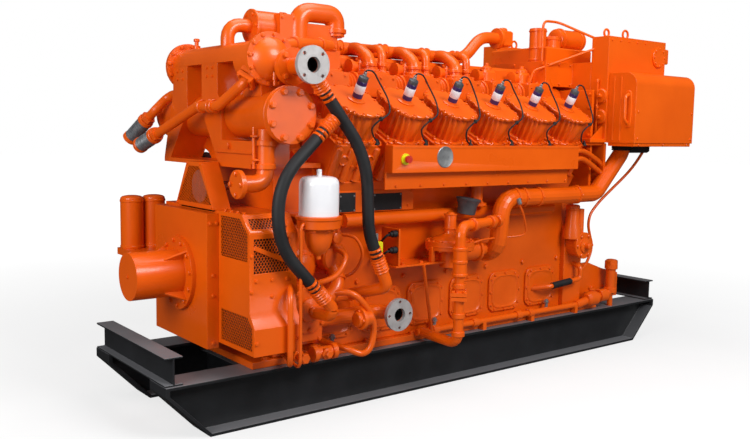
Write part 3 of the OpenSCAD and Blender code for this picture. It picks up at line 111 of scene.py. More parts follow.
def side_vectors(axes):
    """Two unit vectors square to each axis: its cross product with X or Z, whichever lies further from it."""
    axes = unit(np.atleast_2d(axes))
    u = unit(np.cross(np.where(np.abs(axes[:, 2:]) > 0.8, X, Z), axes))
    return axes, u, np.cross(axes, u)


def turned(profile, places, axes, sides=24, smooth=True):
    """Surface of revolution on every place: ring k has radius profile[k, 0] at height profile[k, 1]."""
    profile, places = np.asarray(profile, float), np.atleast_2d(np.asarray(places, float))
    axes, u, v = side_vectors(np.broadcast_to(axes, places.shape))
    a = np.arange(sides) * 2 * np.pi / sides
    ring = np.cos(a)[:, None] * u[:, None] + np.sin(a)[:, None] * v[:, None]
    points = (places[:, None, None] + profile[:, 1][None, :, None, None] * axes[:, None, None]
              + profile[:, 0][None, :, None, None] * ring[:, None])
    return points.reshape(-1, 3), skin(len(profile), sides, len(places)), smooth


def rounded(corners, bend, steps=9):
    """Route whose corners become parabolas, each meeting both its sides one bend away from the corner."""
    p = np.asarray(corners, float)
    back, ahead = p[:-2] - p[1:-1], p[2:] - p[1:-1]
    room = np.minimum(np.linalg.norm(back, axis=1), np.linalg.norm(ahead, axis=1))
    cut = np.minimum(bend, 0.49 * room)[:, None]
    a, b = p[1:-1] + unit(back) * cut, p[1:-1] + unit(ahead) * cut
    t = np.linspace(0, 1, steps)[None, :, None]
    arcs = (1 - t) ** 2 * a[:, None] + 2 * t * (1 - t) * p[1:-1][:, None] + t ** 2 * b[:, None]
    return np.concatenate([p[:1], arcs.reshape(-1, 3), p[-1:]])


def eased(knots, steps=10):
    """Smooth curve through all knots: each span's cubic takes its end slopes from the neighbouring knots."""
    p = np.asarray(knots, float)
    q = np.concatenate([2 * p[:1] - p[1:2], p, 2 * p[-1:] - p[-2:-1]])
    t = np.linspace(0, 1, steps, endpoint=False)[None, :, None]
    a, b, c, d = q[:-3, None], q[1:-2, None], q[2:-1, None], q[3:, None]
    bow, twist = 2 * a - 5 * b + 4 * c - d, 3 * b - a - 3 * c + d
    curve = 0.5 * (2 * b + (c - a) * t + bow * t ** 2 + twist * t ** 3)
    return np.concatenate([curve.reshape(-1, 3), p[-1:]])


def tube(path, radius, sides=20):
    """Circle carried along a path: its plane is square to the path, and its radius may change on the way."""
    path = np.asarray(path, float)
    t = unit(np.gradient(path, axis=0))
    guides = unit([[0, 0, 1], [0, 1, 0], [1, 0, 0], [1, 1, 0], [1, -1, 0], [0.3, 1, 1], [1, 0.3, -1]])
    guide = guides[np.abs(guides @ t.T).max(1).argmin()]
    u = unit(guide - (t @ guide)[:, None] * t)
    v = np.cross(t, u)
    a = np.arange(sides) * 2 * np.pi / sides
    r = np.broadcast_to(radius, len(path))[:, None, None]
    ring = np.cos(a)[None, :, None] * u[:, None] + np.sin(a)[None, :, None] * v[:, None]
    return (path[:, None] + r * ring).reshape(-1, 3), skin(len(path), sides, 1), True


def pipe(corners, radius, bend=0.05, sides=18):
    """Bent pipe: a circle carried along the route with its corners rounded."""
    return tube(rounded(corners, bend), radius, sides)


def slab(outline, steps, places, across, up):
    """Plate: the outline drawn in by steps[k, 0] toward its middle at height steps[k, 1], on every place."""
    outline, steps = np.asarray(outline, float), np.asarray(steps, float)
    places = np.atleast_2d(np.asarray(places, float))
    across, up = unit(np.broadcast_to(across, places.shape)), unit(np.broadcast_to(up, places.shape))
    out = np.cross(across, up)
    flat = outline[None] * (1 - steps[:, :1, None] / np.abs(outline).max(0))
    height = steps[None, :, 1][..., None, None]
    points = (places[:, None, None] + flat[None, :, :, :1] * across[:, None, None]
              + flat[None, :, :, 1:] * up[:, None, None] + height * out[:, None, None])
    return points.reshape(-1, 3), skin(len(steps), len(outline), len(places)), False


def soft_rectangle(width, height, power=5.0, count=40):
    """Soft-cornered rectangle: x over half the width and y over half the height, to a power, add to one."""
    a = np.arange(count) * 2 * np.pi / count
    c, s = np.cos(a), np.sin(a)
    return np.stack([width / 2 * np.sign(c) * np.abs(c) ** (2 / power),
                     height / 2 * np.sign(s) * np.abs(s) ** (2 / power)], -1)


def square_outline(width, height):
    """The four corners of a rectangle about the middle."""
    return np.array([[-1, -1], [1, -1], [1, 1], [-1, 1]]) * [width / 2, height / 2]


def plain_steps(depth, edge):
    """Plate section: from the back straight up its side, then in over a chamfer to the face."""
    return [(0, 0), (0, depth - edge), (edge, depth)]


def block(low, high, edge=0.003):
    """Box between two corners: its rectangle is drawn in by the edge at its foot and at its head."""
    low, high = np.asarray(low, float), np.asarray(high, float)
    wide, deep, tall = high - low
    steps = [(edge, 0), (0, edge), (0, tall - edge), (edge, tall)]
    return slab(square_outline(wide, deep), steps, (*(low + high)[:2] / 2, low[2]), X, Y)


def collar(at, axis, radius, width, edge=0.003):
    """Ring about an axis: a rectangle with cut corners turned about it, with its middle on every place."""
    half = width / 2
    section = [(radius - edge, -half), (radius, edge - half), (radius, half - edge), (radius - edge, half)]
    return turned(section, at, axis, 28)


def in_plane(corners, normal):
    """A flat outline's middle, two axes square to its normal, and its corners measured along them."""
    corners = np.asarray(corners, float)
    middle = corners.mean(0)
    u = unit(corners[1] - corners[0])
    v = np.cross(normal, u)
    flat = np.stack([(corners - middle) @ u, (corners - middle) @ v], -1)
    return middle, u, v, flat


def lattice(corners, pitch, width, lean, normal):
    """Expanded sheet: parallel strips that lean either way, each cut where it crosses the outline."""
    middle, u, v, flat = in_plane(corners, normal)
    edge = np.roll(flat, -1, 0) - flat
    inward = np.stack([-edge[:, 1], edge[:, 0]], -1)
    inward *= np.sign((inward * -flat).sum(1, keepdims=True))
    reach = np.linalg.norm(flat, axis=1).max()
    starts, stops, sides = [], [], []
    for turn in (lean, -lean):
        run = np.array([math.cos(turn), math.sin(turn)])
        square = np.array([-run[1], run[0]])
        offset = np.arange(-reach, reach, pitch)[:, None] * square
        slope = inward @ run
        room = ((offset[:, None] - flat[None]) * inward[None]).sum(-1)
        hit = -room / np.where(np.abs(slope) < TINY, TINY, slope)
        low = np.where(slope > 0, hit, -FAR).max(1)
        high = np.where(slope < 0, hit, FAR).min(1)
        keep = high - low > pitch * 0.2
        starts.append(offset[keep] + low[keep, None] * run)
        stops.append(offset[keep] + high[keep, None] * run)
        sides.append(np.broadcast_to(square, starts[-1].shape))
    ends = np.stack([np.concatenate(starts), np.concatenate(stops)], 1)
    square = np.concatenate(sides)
    place = middle + ends[..., :1] * u + ends[..., 1:] * v
    square = square[:, :1] * u + square[:, 1:] * v
    section = square_outline(width, width * 0.4)
    ring = section[None, :, :1] * square[:, None] + section[None, :, 1:] * np.asarray(normal, float)
    points = place[:, :, None] + ring[:, None]
    return points.reshape(-1, 3), skin(2, 4, len(place)), False


def backing(corners, normal, depth):
    """Thin plate of a window's outline, set behind the window by depth."""
    middle, u, v, flat = in_plane(corners, normal)
    turn = (flat[:, 0] * np.roll(flat[:, 1], -1) - np.roll(flat[:, 0], -1) * flat[:, 1]).sum()
    flat = flat if turn > 0 else flat[::-1]
    return slab(flat, mm("0 0, 0 2"), middle - np.asarray(normal, float) * depth, u, v)


def bolts(places, axes, size):
    """Hexagon head on a round washer, at every place along its axis; size is the thread's diameter."""
    washer = np.array([(1.1, 0), (1.1, 0.18), (0.9, 0.2)]) * size
    head = np.array([(0.88, 0.15), (0.88, 0.72), (0.7, 0.85)]) * size
    return [turned(washer, places, axes, 12, False), turned(head, places, axes, 6, False)]


def ring_places(middle, axis, radius, count, start=0.0):
    """Places spaced evenly on a circle about an axis."""
    _, u, v = side_vectors(axis)
    a = start + np.arange(count) * 2 * np.pi / count
    return np.asarray(middle, float) + radius * (np.cos(a)[:, None] * u + np.sin(a)[:, None] * v)


def line_places(start, stop, count):
    """Places spaced evenly from start to stop."""
    return np.linspace(np.asarray(start, float), np.asarray(stop, float), count)


def along(start, axis, *steps):
    """Places at the given steps from start along an axis."""
    return np.asarray(start, float) + np.array(steps)[:, None] * axis


def every(x, y, z):
    """Places at every pairing of the given coordinates, each a number or a row of numbers."""
    return np.stack(np.meshgrid(x, y, z), -1).reshape(-1, 3)


def spread(places, offsets):
    """Every place moved by every offset."""
    return (np.asarray(places, float)[:, None] + np.asarray(offsets, float)[None]).reshape(-1, 3)


def flange(at, axis, radius, width, count, size):
    """Round flange on its middle, with a ring of bolts on the face that the axis points to."""
    face = np.asarray(at, float) + unit(axis) * width / 2
    places = ring_places(face, axis, radius - size * 1.5, count)
    return [collar(at, axis, radius, width)] + bolts(places, axis, size)


def bank(x, t, r):
    """Point of the near bank: x along the crankshaft, t along the head's width, r out from the crankshaft."""
    x, t, r = np.broadcast_arrays(*(np.asarray(c, float) for c in (x, t, r)))
    s, c = math.sin(BANK), math.cos(BANK)
    return np.stack([x, t * c - r * s, CRANK_Z + t * s + r * c], -1)


def on_heads(offsets, t, r):
    """Points of the near bank on all six cylinders, at the given offsets from each along the crankshaft."""
    return bank(CYLINDER_X[:, None] + np.asarray(offsets), t, r).reshape(-1, 3)


BANK_UP = np.array([0, -math.sin(BANK), math.cos(BANK)])
BANK_OUT = np.array([0, -math.cos(BANK), -math.sin(BANK)])


def mirrored(patches):
    """The far side's copies: Y changes its sign and each face runs the other way round."""
    return [(p * [1, -1, 1], [f[:, ::-1] for f in faces], *rest) for p, faces, *rest in patches]


def piece(name, patches, finish, replaces=()):
    """One object from all patches: their points and faces are joined and written as whole arrays."""
    patches = [p if len(p) == 4 else (*p, 0) for p in patches]
    finishes = finish if isinstance(finish, (list, tuple)) else [finish]
    start, flat, totals, marks, soft = 0, [], [], [], []
    for points, faces, smooth, mark in patches:
        for f in faces:
            flat.append((f + start).ravel())
            totals.append(np.full(len(f), f.shape[1]))
            marks.append(np.full(len(f), mark))
            soft.append(np.full(len(f), smooth and f.shape[1] == 4))
        start += len(points)
    flat, totals = np.concatenate(flat).astype(np.int32), np.concatenate(totals).astype(np.int32)
    mesh = bpy.data.meshes.new(name)
    mesh.vertices.add(start)
    mesh.vertices.foreach_set("co", np.concatenate([p[0] for p in patches]).astype(np.float32).ravel())
    mesh.loops.add(len(flat))
    mesh.loops.foreach_set("vertex_index", flat)
    mesh.polygons.add(len(totals))
    mesh.polygons.foreach_set("loop_start", np.concatenate([[0], np.cumsum(totals)[:-1]]).astype(np.int32))
    mesh.polygons.foreach_set("loop_total", totals)
    mesh.polygons.foreach_set("material_index", np.concatenate(marks).astype(np.int32))
    mesh.polygons.foreach_set("use_smooth", np.concatenate(soft))
    for f in finishes:
        mesh.materials.append(FINISH[f])
    mesh.update(calc_edges=True)
    if mesh.validate(verbose=False):
        raise RuntimeError("faulty faces in " + name)
    mesh.set_sharp_from_angle(angle=MADE_ANGLE)
    placed(bpy.data.objects.new(name, mesh), replaces)


def placed(thing, replaces, bevel=0.0):
    """Links an object to the scene and the root body, rounds its edges when a bevel is given, and hides the
    solids it stands for.
    """
    bpy.context.scene.collection.objects.link(thing)
    if bevel:
        edge = thing.modifiers.new("edges", "BEVEL")
        edge.width = bevel
        edge.segments = 2
        edge.limit_method = "ANGLE"
        edge.angle_limit = BEVEL_ANGLE
        edge.harden_normals = True
    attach(thing, "root")
    if replaces:
        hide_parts(*replaces)


def softened(node, finish, width):
    """A solid's own faces with doubled points merged, flat triangles joined and sharp edges rounded."""
    mesh = bpy.data.meshes.new(node + "_cast")
    shape = bmesh.new()
    shape.from_mesh(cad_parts[node].data)
    bmesh.ops.remove_doubles(shape, verts=shape.verts, dist=MERGE_GAP)
    bmesh.ops.dissolve_limit(shape, angle_limit=FLAT_ANGLE, verts=shape.verts, edges=shape.edges)
    shape.to_mesh(mesh)
    shape.free()
    mesh.materials.clear()
    mesh.materials.append(FINISH[finish])
    mesh.shade_smooth()
    mesh.set_sharp_from_angle(angle=CAST_ANGLE)
    placed(bpy.data.objects.new(node + "_cast", mesh), [node], width)


# Finishes


def linear(text):
    """An sRGB hex colour as linear red, green, blue and alpha."""
    c = np.array([int(text[i:i + 2], 16) for i in (1, 3, 5)]) / 255
    return (*np.where(c <= 0.04045, c / 12.92, ((c + 0.055) / 1.055) ** 2.4), 1.0)


def add(tree, kind, settings=None, **links):
    """Adds a node, sets its properties or sockets by name, and links the named inputs from given outputs."""
    node = tree.nodes.new(kind)
    for key, value in (settings or {}).items():
        if hasattr(node, key):
            setattr(node, key, value)
        else:
            node.inputs[key].default_value = value
    for key, source in links.items():
        tree.links.new(source, node.inputs[key.replace("_", " ")])
    return node


def finish(name, low, high, patch, grain, relief, rough, **sockets):
    """Surface whose colour drifts between two hex colours over patches, with a finer grain on its skin.

    patch, grain and relief are metres: the patches' size, the grain's size and its height.
    rough holds the lowest and the highest roughness.
    """
    material = bpy.data.materials.new(name)
    material.use_nodes = True
    tree = material.node_tree
    shader = tree.nodes["Principled BSDF"]
    place = add(tree, "ShaderNodeTexCoord").outputs["Object"]
    wide = {"Scale": 1 / patch, "Detail": 4.0, "Roughness": 0.6}
    fine = {"Scale": 1 / grain, "Detail": 3.0, "Roughness": 0.55}
    drift = add(tree, "ShaderNodeTexNoise", wide, Vector=place)
    tint = add(tree, "ShaderNodeValToRGB", Fac=drift.outputs["Fac"])
    ends = tint.color_ramp.elements
    ends[0].position, ends[0].color = 0.32, linear(low)
    ends[1].position, ends[1].color = 0.68, linear(high)
    tree.links.new(tint.outputs["Color"], shader.inputs["Base Color"])
    pebbles = add(tree, "ShaderNodeTexNoise", fine, Vector=place)
    span = {"To Min": rough[0], "To Max": rough[1]}
    gloss = add(tree, "ShaderNodeMapRange", span, Value=drift.outputs["Fac"])
    tree.links.new(gloss.outputs["Result"], shader.inputs["Roughness"])
    bump = add(tree, "ShaderNodeBump", {"Strength": 0.6, "Distance": relief}, Height=pebbles.outputs["Fac"])
    tree.links.new(bump.outputs["Normal"], shader.inputs["Normal"])
    for key, value in sockets.items():
        shader.inputs[key.replace("_", " ")].default_value = value
    FINISH[name] = material
    return material


def dust_and_sheen_on_top(name, dust_and_sheen_colour, share):
    """Lays one hex colour over a finish where its surface faces up, by share at most: partly dust, partly a
    painted sheen on the top faces.
    """
    tree = FINISH[name].node_tree
    shader = tree.nodes["Principled BSDF"]
    facing = add(tree, "ShaderNodeSeparateXYZ", Vector=add(tree, "ShaderNodeNewGeometry").outputs["Normal"])
    cover = add(tree, "ShaderNodeMapRange", {"From Min": 0.5, "From Max": 0.95, "To Max": share},
                Value=facing.outputs["Z"])
    under = shader.inputs["Base Color"].links[0].from_socket
    mix = add(tree, "ShaderNodeMixRGB", {"Color2": linear(dust_and_sheen_colour)}, Fac=cover.outputs["Result"], Color1=under)
    tree.links.new(mix.outputs["Color"], shader.inputs["Base Color"])


class EngineColours(bpy.types.PropertyGroup):
    """Colours of the paint, rubber, plastic and metal, as sRGB hex values."""
    enamel: bpy.props.StringProperty(name="Enamel", description="Orange enamel of castings and sheet",
                                     default="#ea5f06")
    enamel_thin: bpy.props.StringProperty(name="Thin enamel",
                                          description="The same enamel where its film is thin",
                                          default="#de5604")
    skid: bpy.props.StringProperty(name="Skid", description="Satin black beam paint", default="#1a1b1d")
    rubber: bpy.props.StringProperty(name="Rubber", description="Hoses, leads and belt", default="#1a1a1c")
    steel: bpy.props.StringProperty(name="Steel", description="Machined flange faces", default="#c4c0bf")
    coil: bpy.props.StringProperty(name="Coil", description="Moulded body of a coil", default="#2c2358")
    label: bpy.props.StringProperty(name="Label", description="Plain band around a coil", default="#e9e8ea")
    filter: bpy.props.StringProperty(name="Filter", description="Enamel of the filter can",
                                     default="#efeff2")
    yellow: bpy.props.StringProperty(name="Yellow", description="Ring of the stop button", default="#e6dc14")
    red: bpy.props.StringProperty(name="Red", description="Head of the stop button", default="#c8322a")


class EngineSizes(bpy.types.PropertyGroup):
    """Sizes of the fittings that the solids leave out, in metres."""
    bolt: bpy.props.FloatProperty(name="Bolt", description="Thread of the cover bolts", default=0.014,
                                  unit="LENGTH")
    mesh_pitch: bpy.props.FloatProperty(name="Screen pitch", description="Strip spacing of the screens",
                                        default=0.015, unit="LENGTH")
    mesh_strip: bpy.props.FloatProperty(name="Screen strip", description="Strip width of the screens",
                                        default=0.0031, unit="LENGTH")
    hose: bpy.props.FloatProperty(name="Hose", description="Radius of the coolant hoses", default=0.033,
                                  unit="LENGTH")
    lead: bpy.props.FloatProperty(name="Lead", description="Radius of an ignition lead", default=0.0048,
                                  unit="LENGTH")
    tubing: bpy.props.FloatProperty(name="Tubing", description="Radius of the small oil and coolant tubes",
                                    default=0.015, unit="LENGTH")
    edge: bpy.props.FloatProperty(name="Edge", description="Rounding of cast and folded edges",
                                  default=0.004, unit="LENGTH")


class ENGINE_OT_finishes(bpy.types.Operator):
    """Makes the finishes and puts them on the solids that stay"""
    bl_idname = "engine.finishes"
    bl_label = "Finishes"

    def execute(self, context):
        c = context.scene.engine_colours
        # gloss enamel sprayed on cast iron: wet highlights over a faintly pebbled skin
        finish("cast_enamel", c.enamel_thin, c.enamel, 0.3, 0.01, 0.0006, (0.24, 0.4), Coat_Weight=0.2,
               Coat_Roughness=0.07, Specular_IOR_Level=0.42)
        # the same enamel on folded sheet and tube: smoother, with long clean highlights
        finish("sheet_enamel", c.enamel_thin, c.enamel, 0.55, 0.022, 0.0003, (0.22, 0.36), Coat_Weight=0.12,
               Coat_Roughness=0.06, Specular_IOR_Level=0.34)
        # satin black paint on rolled beams: dull, with mill scale under it; faces that look up are paled,
        # partly as dust and partly as a painted sheen
        finish("beam_paint", c.skid, "#232427", 0.25, 0.012, 0.0004, (0.34, 0.48), Specular_IOR_Level=0.55)
        # extruded rubber: dark, dull, with a fine cloth mark from curing
        finish("cured_rubber", c.rubber, "#242426", 0.12, 0.005, 0.0003, (0.5, 0.7), Specular_IOR_Level=0.4)
        # machined steel: bright grey with cutter marks
        finish("turned_steel", "#aeaaa9", c.steel, 0.05, 0.004, 0.0001, (0.34, 0.5), Metallic=0.35)
        # zinc-plated steel of nipples, pins, screws and pulleys: pale grey with a soft shine
        finish("zinc_plate", "#8c8d8e", "#a9abac", 0.03, 0.004, 0.0001, (0.28, 0.42), Metallic=0.6)
        # dull aluminium of the ribbed connectors: mid grey, with dark oxide in its grain
        finish("dull_aluminium", "#5c5e61", "#7d7f82", 0.02, 0.003, 0.0004, (0.38, 0.55), Metallic=0.4)
        # white enamel baked on drawn steel: clean and even, with sharp highlights
        finish("white_enamel", "#e6e6ea", c.filter, 0.2, 0.03, 0.0001, (0.18, 0.28), Coat_Weight=0.3)
        # moulded coil plastic: deep blue-violet with a soft shine
        finish("coil_plastic", c.coil, "#362b68", 0.04, 0.004, 0.0001, (0.28, 0.4))
        # varnished paper label: plain off-white and matt
        finish("label_paper", "#dcdbe0", c.label, 0.03, 0.003, 0.0001, (0.45, 0.6))
        # moulded nylon of the coils' caps and the sensor bell: dull dark grey
        finish("grey_nylon", "#3a3c3f", "#4a4d51", 0.05, 0.004, 0.0002, (0.4, 0.55))
        # gloss plastics of the stop button and a connector: flat bright colour with small highlights
        finish("yellow_plastic", "#d6cb10", c.yellow, 0.03, 0.004, 0.0001, (0.25, 0.36))
        finish("red_plastic", "#b82a22", c.red, 0.03, 0.004, 0.0001, (0.22, 0.34))
        # black anodised plate: near black, the blank plates' own colour; the same near black is painted shade
        # behind the screens, in the arch and in the bores
        finish("black_plate", "#121315", "#1b1c1f", 0.04, 0.003, 0.0001, (0.35, 0.48))
        # pale grey over the beams' up-facing faces: partly dust, partly a painted sheen for the light the
        # tops catch
        dust_and_sheen_on_top("beam_paint", "#8a8a8e", 0.62)
        bare = {"outlet_flange": "turned_steel", "inlet_flange": "turned_steel",
                "crank_pulley": "zinc_plate", "upper_pulley": "zinc_plate", "drive_belt": "cured_rubber",
                "stop_ring": "yellow_plastic", "stop_button": "red_plastic"}
        for name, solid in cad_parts.items():
            solid.data.materials.clear()
            solid.data.materials.append(FINISH[bare.get(name, "sheet_enamel")])
        return {"FINISHED"}


class ENGINE_OT_castings(bpy.types.Operator):
    """Rounds the edges of castings, beams and folded sheet"""
    bl_idname = "engine.castings"
    bl_label = "Castings and sheet"

    def execute(self, context):
        edge = context.scene.engine_sizes.edge
        cast = ("engine_base", "crankcase", "cylinder_heads_near", "cylinder_heads_far", "gear_case",
                "flywheel_housing", "exhaust_manifold_near", "exhaust_manifold_far", "mixer", "oil_cooler",
                "coolant_tank", "starter_drive", "cooler_frame", "crankcase_doors", "gas_regulator")
        sheet = ("side_rail_near", "side_rail_far", "belt_guard", "upper_guard", "front_plate",
                 "shaft_guard", "breather_cans", "air_box_near", "air_box_far", "air_stand", "intake_hoods",
                 "intake_box")
        beams = ("skid_beam_near", "skid_beam_far", "skid_crossbeams", "skid_ties")
        for node in cast:
            softened(node, "cast_enamel", edge * 1.4)
        for node in sheet:
            softened(node, "sheet_enamel", edge * 0.6)
        for node in beams:
            softened(node, "beam_paint", edge * 0.8)
        return {"FINISHED"}


class ENGINE_OT_covers(bpy.types.Operator):
    """Fluted rocker covers with scalloped plates, the bosses of the heads under them, and their bolts"""
    bl_idname = "engine.covers"
    bl_label = "Rocker covers"

    def execute(self, context):
        size = context.scene.engine_sizes.bolt
        count, rim_bolts = 224, 14
        a = np.arange(count) * 2 * np.pi / count
        oval = soft_rectangle(0.279, 0.344, 3.0, count)
        grow = unit(oval)
        boss = 0.007 * np.clip(np.cos(rim_bolts * a), 0, 1)[:, None] * grow
        scallop = 0.005 * np.cos(2 * rim_bolts * a)[:, None] * grow
        flute = 0.0075 * np.cos(20 * a)[:, None] * grow
        sections = ((boss, 0.0), (boss, 0.014), (boss - 0.003 * grow, 0.017), (-0.022 * grow, 0.019),
                    (flute - 0.02 * grow, 0.034), (flute - 0.012 * grow, 0.095),
                    (flute - 0.016 * grow, 0.15), (-0.021 * grow, 0.175), (scallop - 0.002 * grow, 0.177),
                    (scallop, 0.18), (scallop, 0.191), (scallop - 0.004 * grow, 0.195))
        outline = oval + np.stack([s[0] for s in sections])
        height = HEAD_TOP + np.array([s[1] for s in sections])
        points = bank(CYLINDER_X[:, None, None] + outline[None, :, :, 0], outline[None, :, :, 1],
                      height[None, :, None])
        covers = [(points.reshape(-1, 3), skin(*outline.shape[:2], 6), True)]
        rim = (oval - 0.01 * grow)[::count // rim_bolts]
        foot = (oval - 0.004 * grow)[::count // rim_bolts]
        crown = on_heads(rim[:, 0], rim[:, 1], COVER_TOP)
        tread = on_heads(foot[:, 0], foot[:, 1], HEAD_TOP + 0.017)
        covers += bolts(crown, BANK_UP, size * 0.6) + bolts(tread, BANK_UP, size * 0.75)
        seat = bank(CYLINDER_X, 0.0, COVER_TOP)
        well = mm("52 0, 52 6, 46 9, 30 10, 28 20")
        covers.append(turned(well, seat, BANK_UP, 32))
        piece("rocker_covers_service_side", covers, "cast_enamel",
              replaces=["rocker_covers_near"])
        piece("rocker_covers_back_side", mirrored(covers), "cast_enamel",
              replaces=["rocker_covers_far"])
        column = mm("30 0, 25 12, 25 190, 21 204, 12 210")
        heads = [turned(column, on_heads((-0.128, -0.045, 0.045, 0.128), -0.16, 0.7), BANK_UP)]
        plug = mm("34 0, 34 12, 28 18, 22 12, 12 12")
        heads.append(turned(plug, on_heads((-0.0865, 0.0865), -0.164, 0.835), BANK_OUT))
        lug = slab(soft_rectangle(0.07, 0.09), plain_steps(0.016, 0.004),
                   bank(CYLINDER_X, -0.164, 0.8), X, -BANK_UP)
        heads += [lug] + bolts(on_heads((-0.02, 0.02), -0.18, 0.8), BANK_OUT, size * 0.8)
        for t in (-0.146, 0.146):
            heads += bolts(on_heads((-0.134, 0.134), t, HEAD_TOP), BANK_UP, size * 1.4)
        piece("head_bosses", heads + mirrored(heads), "cast_enamel")
        return {"FINISHED"}


class ENGINE_OT_ignition(bpy.types.Operator):
    """Ignition coils with a plain band, and the leads from their nipples down to the rails"""
    bl_idname = "engine.ignition"
    bl_label = "Ignition"

    def execute(self, context):
        radius = context.scene.engine_sizes.lead
        seat = bank(CYLINDER_X, 0.0, COVER_TOP)
        parts = [(mm("24 0, 24 10, 27 14, 29 20, 29 45"), 0),
                 (mm("29 45, 29.7 46, 29.7 93, 29 94"), 1),
                 (mm("29 94, 29 116, 27 118"), 0),
                 (mm("27 117, 28.5 119, 28.5 134, 26 140, 17 143, 13 146"), 2),
                 (mm("12 144, 12 154, 9 156, 9 168, 7 170"), 3)]
        coils = [(*turned(profile, seat, BANK_UP, 32), mark) for profile, mark in parts]
        finishes = ["coil_plastic", "label_paper", "grey_nylon", "zinc_plate"]
        piece("coils", coils + mirrored(coils), finishes, replaces=["ignition_coils"])
        leads = []
        for i, x in enumerate(CYLINDER_X):
            sway = 0.012 * math.sin(2.1 * i + 0.6)
            over = bank([x, x + 0.004, x + 0.045, x + 0.088, x + 0.13 + sway, x + 0.122 + sway, x + 0.07],
                        [0.0, -0.004, -0.01, -0.03, -0.09, -0.15, -0.188],
                        COVER_TOP + np.array([0.16, 0.182, 0.176, 0.13, 0.06, 0.014, -0.004]))
            down = bank([x + 0.04, x + 0.012, x + 0.04 + sway, x + 0.088 + sway],
                        [-0.192, -0.194, -0.202, -0.198], COVER_TOP - np.array([0.022, 0.07, 0.125, 0.158]))
            rail = [[x + 0.066, -0.668, 1.545], [x + 0.06, -0.677, 1.516]]
            leads.append(tube(eased(np.concatenate([over, down, rail])), radius, 10))
        clip = bank(CYLINDER_X + 0.055, -0.188, COVER_TOP - 0.012)
        leads.append(collar(clip, X, 0.012, 0.014, 0.002))
        foot = every(CYLINDER_X + 0.06, -0.677, 1.513)
        leads.append(turned(mm("14 0, 14 5, 8 12, 6 16"), foot, Z, 16))
        piece("leads", leads + mirrored(leads), "cured_rubber", replaces=["ignition_leads"])
        return {"FINISHED"}


class ENGINE_OT_guards(bpy.types.Operator):
    """Expanded sheet in the guards' windows with near-black plates of painted shade behind it, their brace
    and bolts, and the caps of the cans
    """
    bl_idname = "engine.guards"
    bl_label = "Guards"

    def execute(self, context):
        s = context.scene.engine_sizes
        lean, gap, screen_x, shade_plate_x, inside = math.radians(33), 0.012, -1.6965, -1.606, -0.33
        low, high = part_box("belt_guard")
        bar, side, top_side, slant_z = 0.024, low.y + 0.05, -0.58, high.z - 0.095
        shoulder, middle_z = (low.z + 0.14, low.z + 0.215), (low.z + 0.215 + high.z) / 2
        inner, front = inside - bar, low.x + 0.003
        upper = [(side + bar, middle_z + bar / 2), (side + bar, slant_z), (top_side + bar, high.z - bar),
                 (inner, high.z - bar), (inner, middle_z + bar / 2)]
        lower = [(low.y + bar, low.z + bar), (low.y + bar, shoulder[0]), (side + bar, shoulder[1] - bar),
                 (inner, shoulder[1] - bar), (inner, low.z + bar)]
        fronts = [[(front, *p) for p in window] for window in (upper, lower)]
        sheets = [lattice(window, s.mesh_pitch, s.mesh_strip, lean, -X) for window in fronts]
        # near-black plates behind the windows: painted shade for the dark inside of the guard
        screen_shade_plates = [backing(window, -X, gap) for window in fronts]
        belt_window = mm("-282 1184, -139 1384, -15 1384, 128 1184")
        sheets.append(lattice([(screen_x, *p) for p in belt_window], s.mesh_pitch, s.mesh_strip, lean, -X))
        for window in (mm("-282 1184, -245 1235, 91 1235, 128 1184"),
                       mm("-192 1310, -139 1384, -15 1384, 38 1310")):
            screen_shade_plates.append(backing([(shade_plate_x, *p) for p in window], -X, 0.0))
        ends = (low.x + bar, high.x - 2 * bar)

        def reach(z):
            """Y of the flank's screen: upright below the slant, then drawn in evenly up to the top."""
            return side + (top_side - side) * max(z - slant_z, 0) / (high.z - slant_z) + 0.004

        tilt = unit([0, slant_z - high.z, top_side - side])
        for z0, z1, normal in ((middle_z - 2 * bar, slant_z - bar, -Y), (slant_z + bar, high.z - bar, tilt)):
            loop = ((ends[0], z0), (ends[0], z1), (ends[1], z1), (ends[1], z0))
            window = [(x, reach(z), z) for x, z in loop]
            sheets.append(lattice(window, s.mesh_pitch, s.mesh_strip, lean, normal))
            screen_shade_plates.append(backing(window, normal, gap))
        piece("screens", sheets, "sheet_enamel", replaces=["guard_screens"])
        # the plates behind the windows take the near black as painted shade
        piece("guard_screen_painted_shade", screen_shade_plates, "black_plate")
        start, stop = np.array([ends[0], side, 0.998]), np.array([ends[1], side, 0.912])
        run = unit(stop - start)
        brace = slab(square_outline(np.linalg.norm(stop - start), bar), plain_steps(0.006, 0.0015),
                     (start + stop) / 2, run, np.cross(-Y, run))
        small = s.bolt * 0.75
        flank = [(-1.642, side, 0.827), (-1.55, side, 0.827), (-1.463, side, 0.827), (-1.55, side, 0.741),
                 (-1.669, side, 0.955), (-1.669, side, 0.772), (-1.667, low.y, 0.518), (-1.43, low.y, 0.518)]
        seam_bolts = mm("-1732 1092, -1694 1092, -1715 816, -1715 706, -1715 450")
        corner_bolts = mm("-285 1172, 131 1172, -152 1397, -2 1397")
        seam = [(x, inside, z) for x, z in seam_bolts]
        corner = [(-1.7, y, z) for y, z in corner_bolts]
        fasteners = [brace] + bolts(flank + seam, -Y, small) + bolts(corner, -X, small * 0.7)
        fasteners += bolts([(x, -y, z) for x, y, z in seam], Y, small)
        fasteners += bolts(line_places((-1.655, -0.36, high.z), (-1.655, -0.56, high.z), 4), Z, small)
        fasteners += bolts(ring_places((-1.775, 0, CRANK_Z), -X, 0.182, 12, 0.13), -X, s.bolt)
        fasteners += bolts([(-2.05, 0, CRANK_Z)], -X, small)
        cans = every((-1.793, -1.655), 0.573, 0.0)
        dome = mm("67.5 0, 66 7, 56 15, 34 20, 10 21")
        fasteners += [collar(cans + Z * z, Z, 0.071, 0.016) for z in (0.872, 1.148)]
        fasteners.append(turned(dome, cans + Z * 1.16, Z))
        piece("guard_fittings", fasteners, "sheet_enamel")
        return {"FINISHED"}


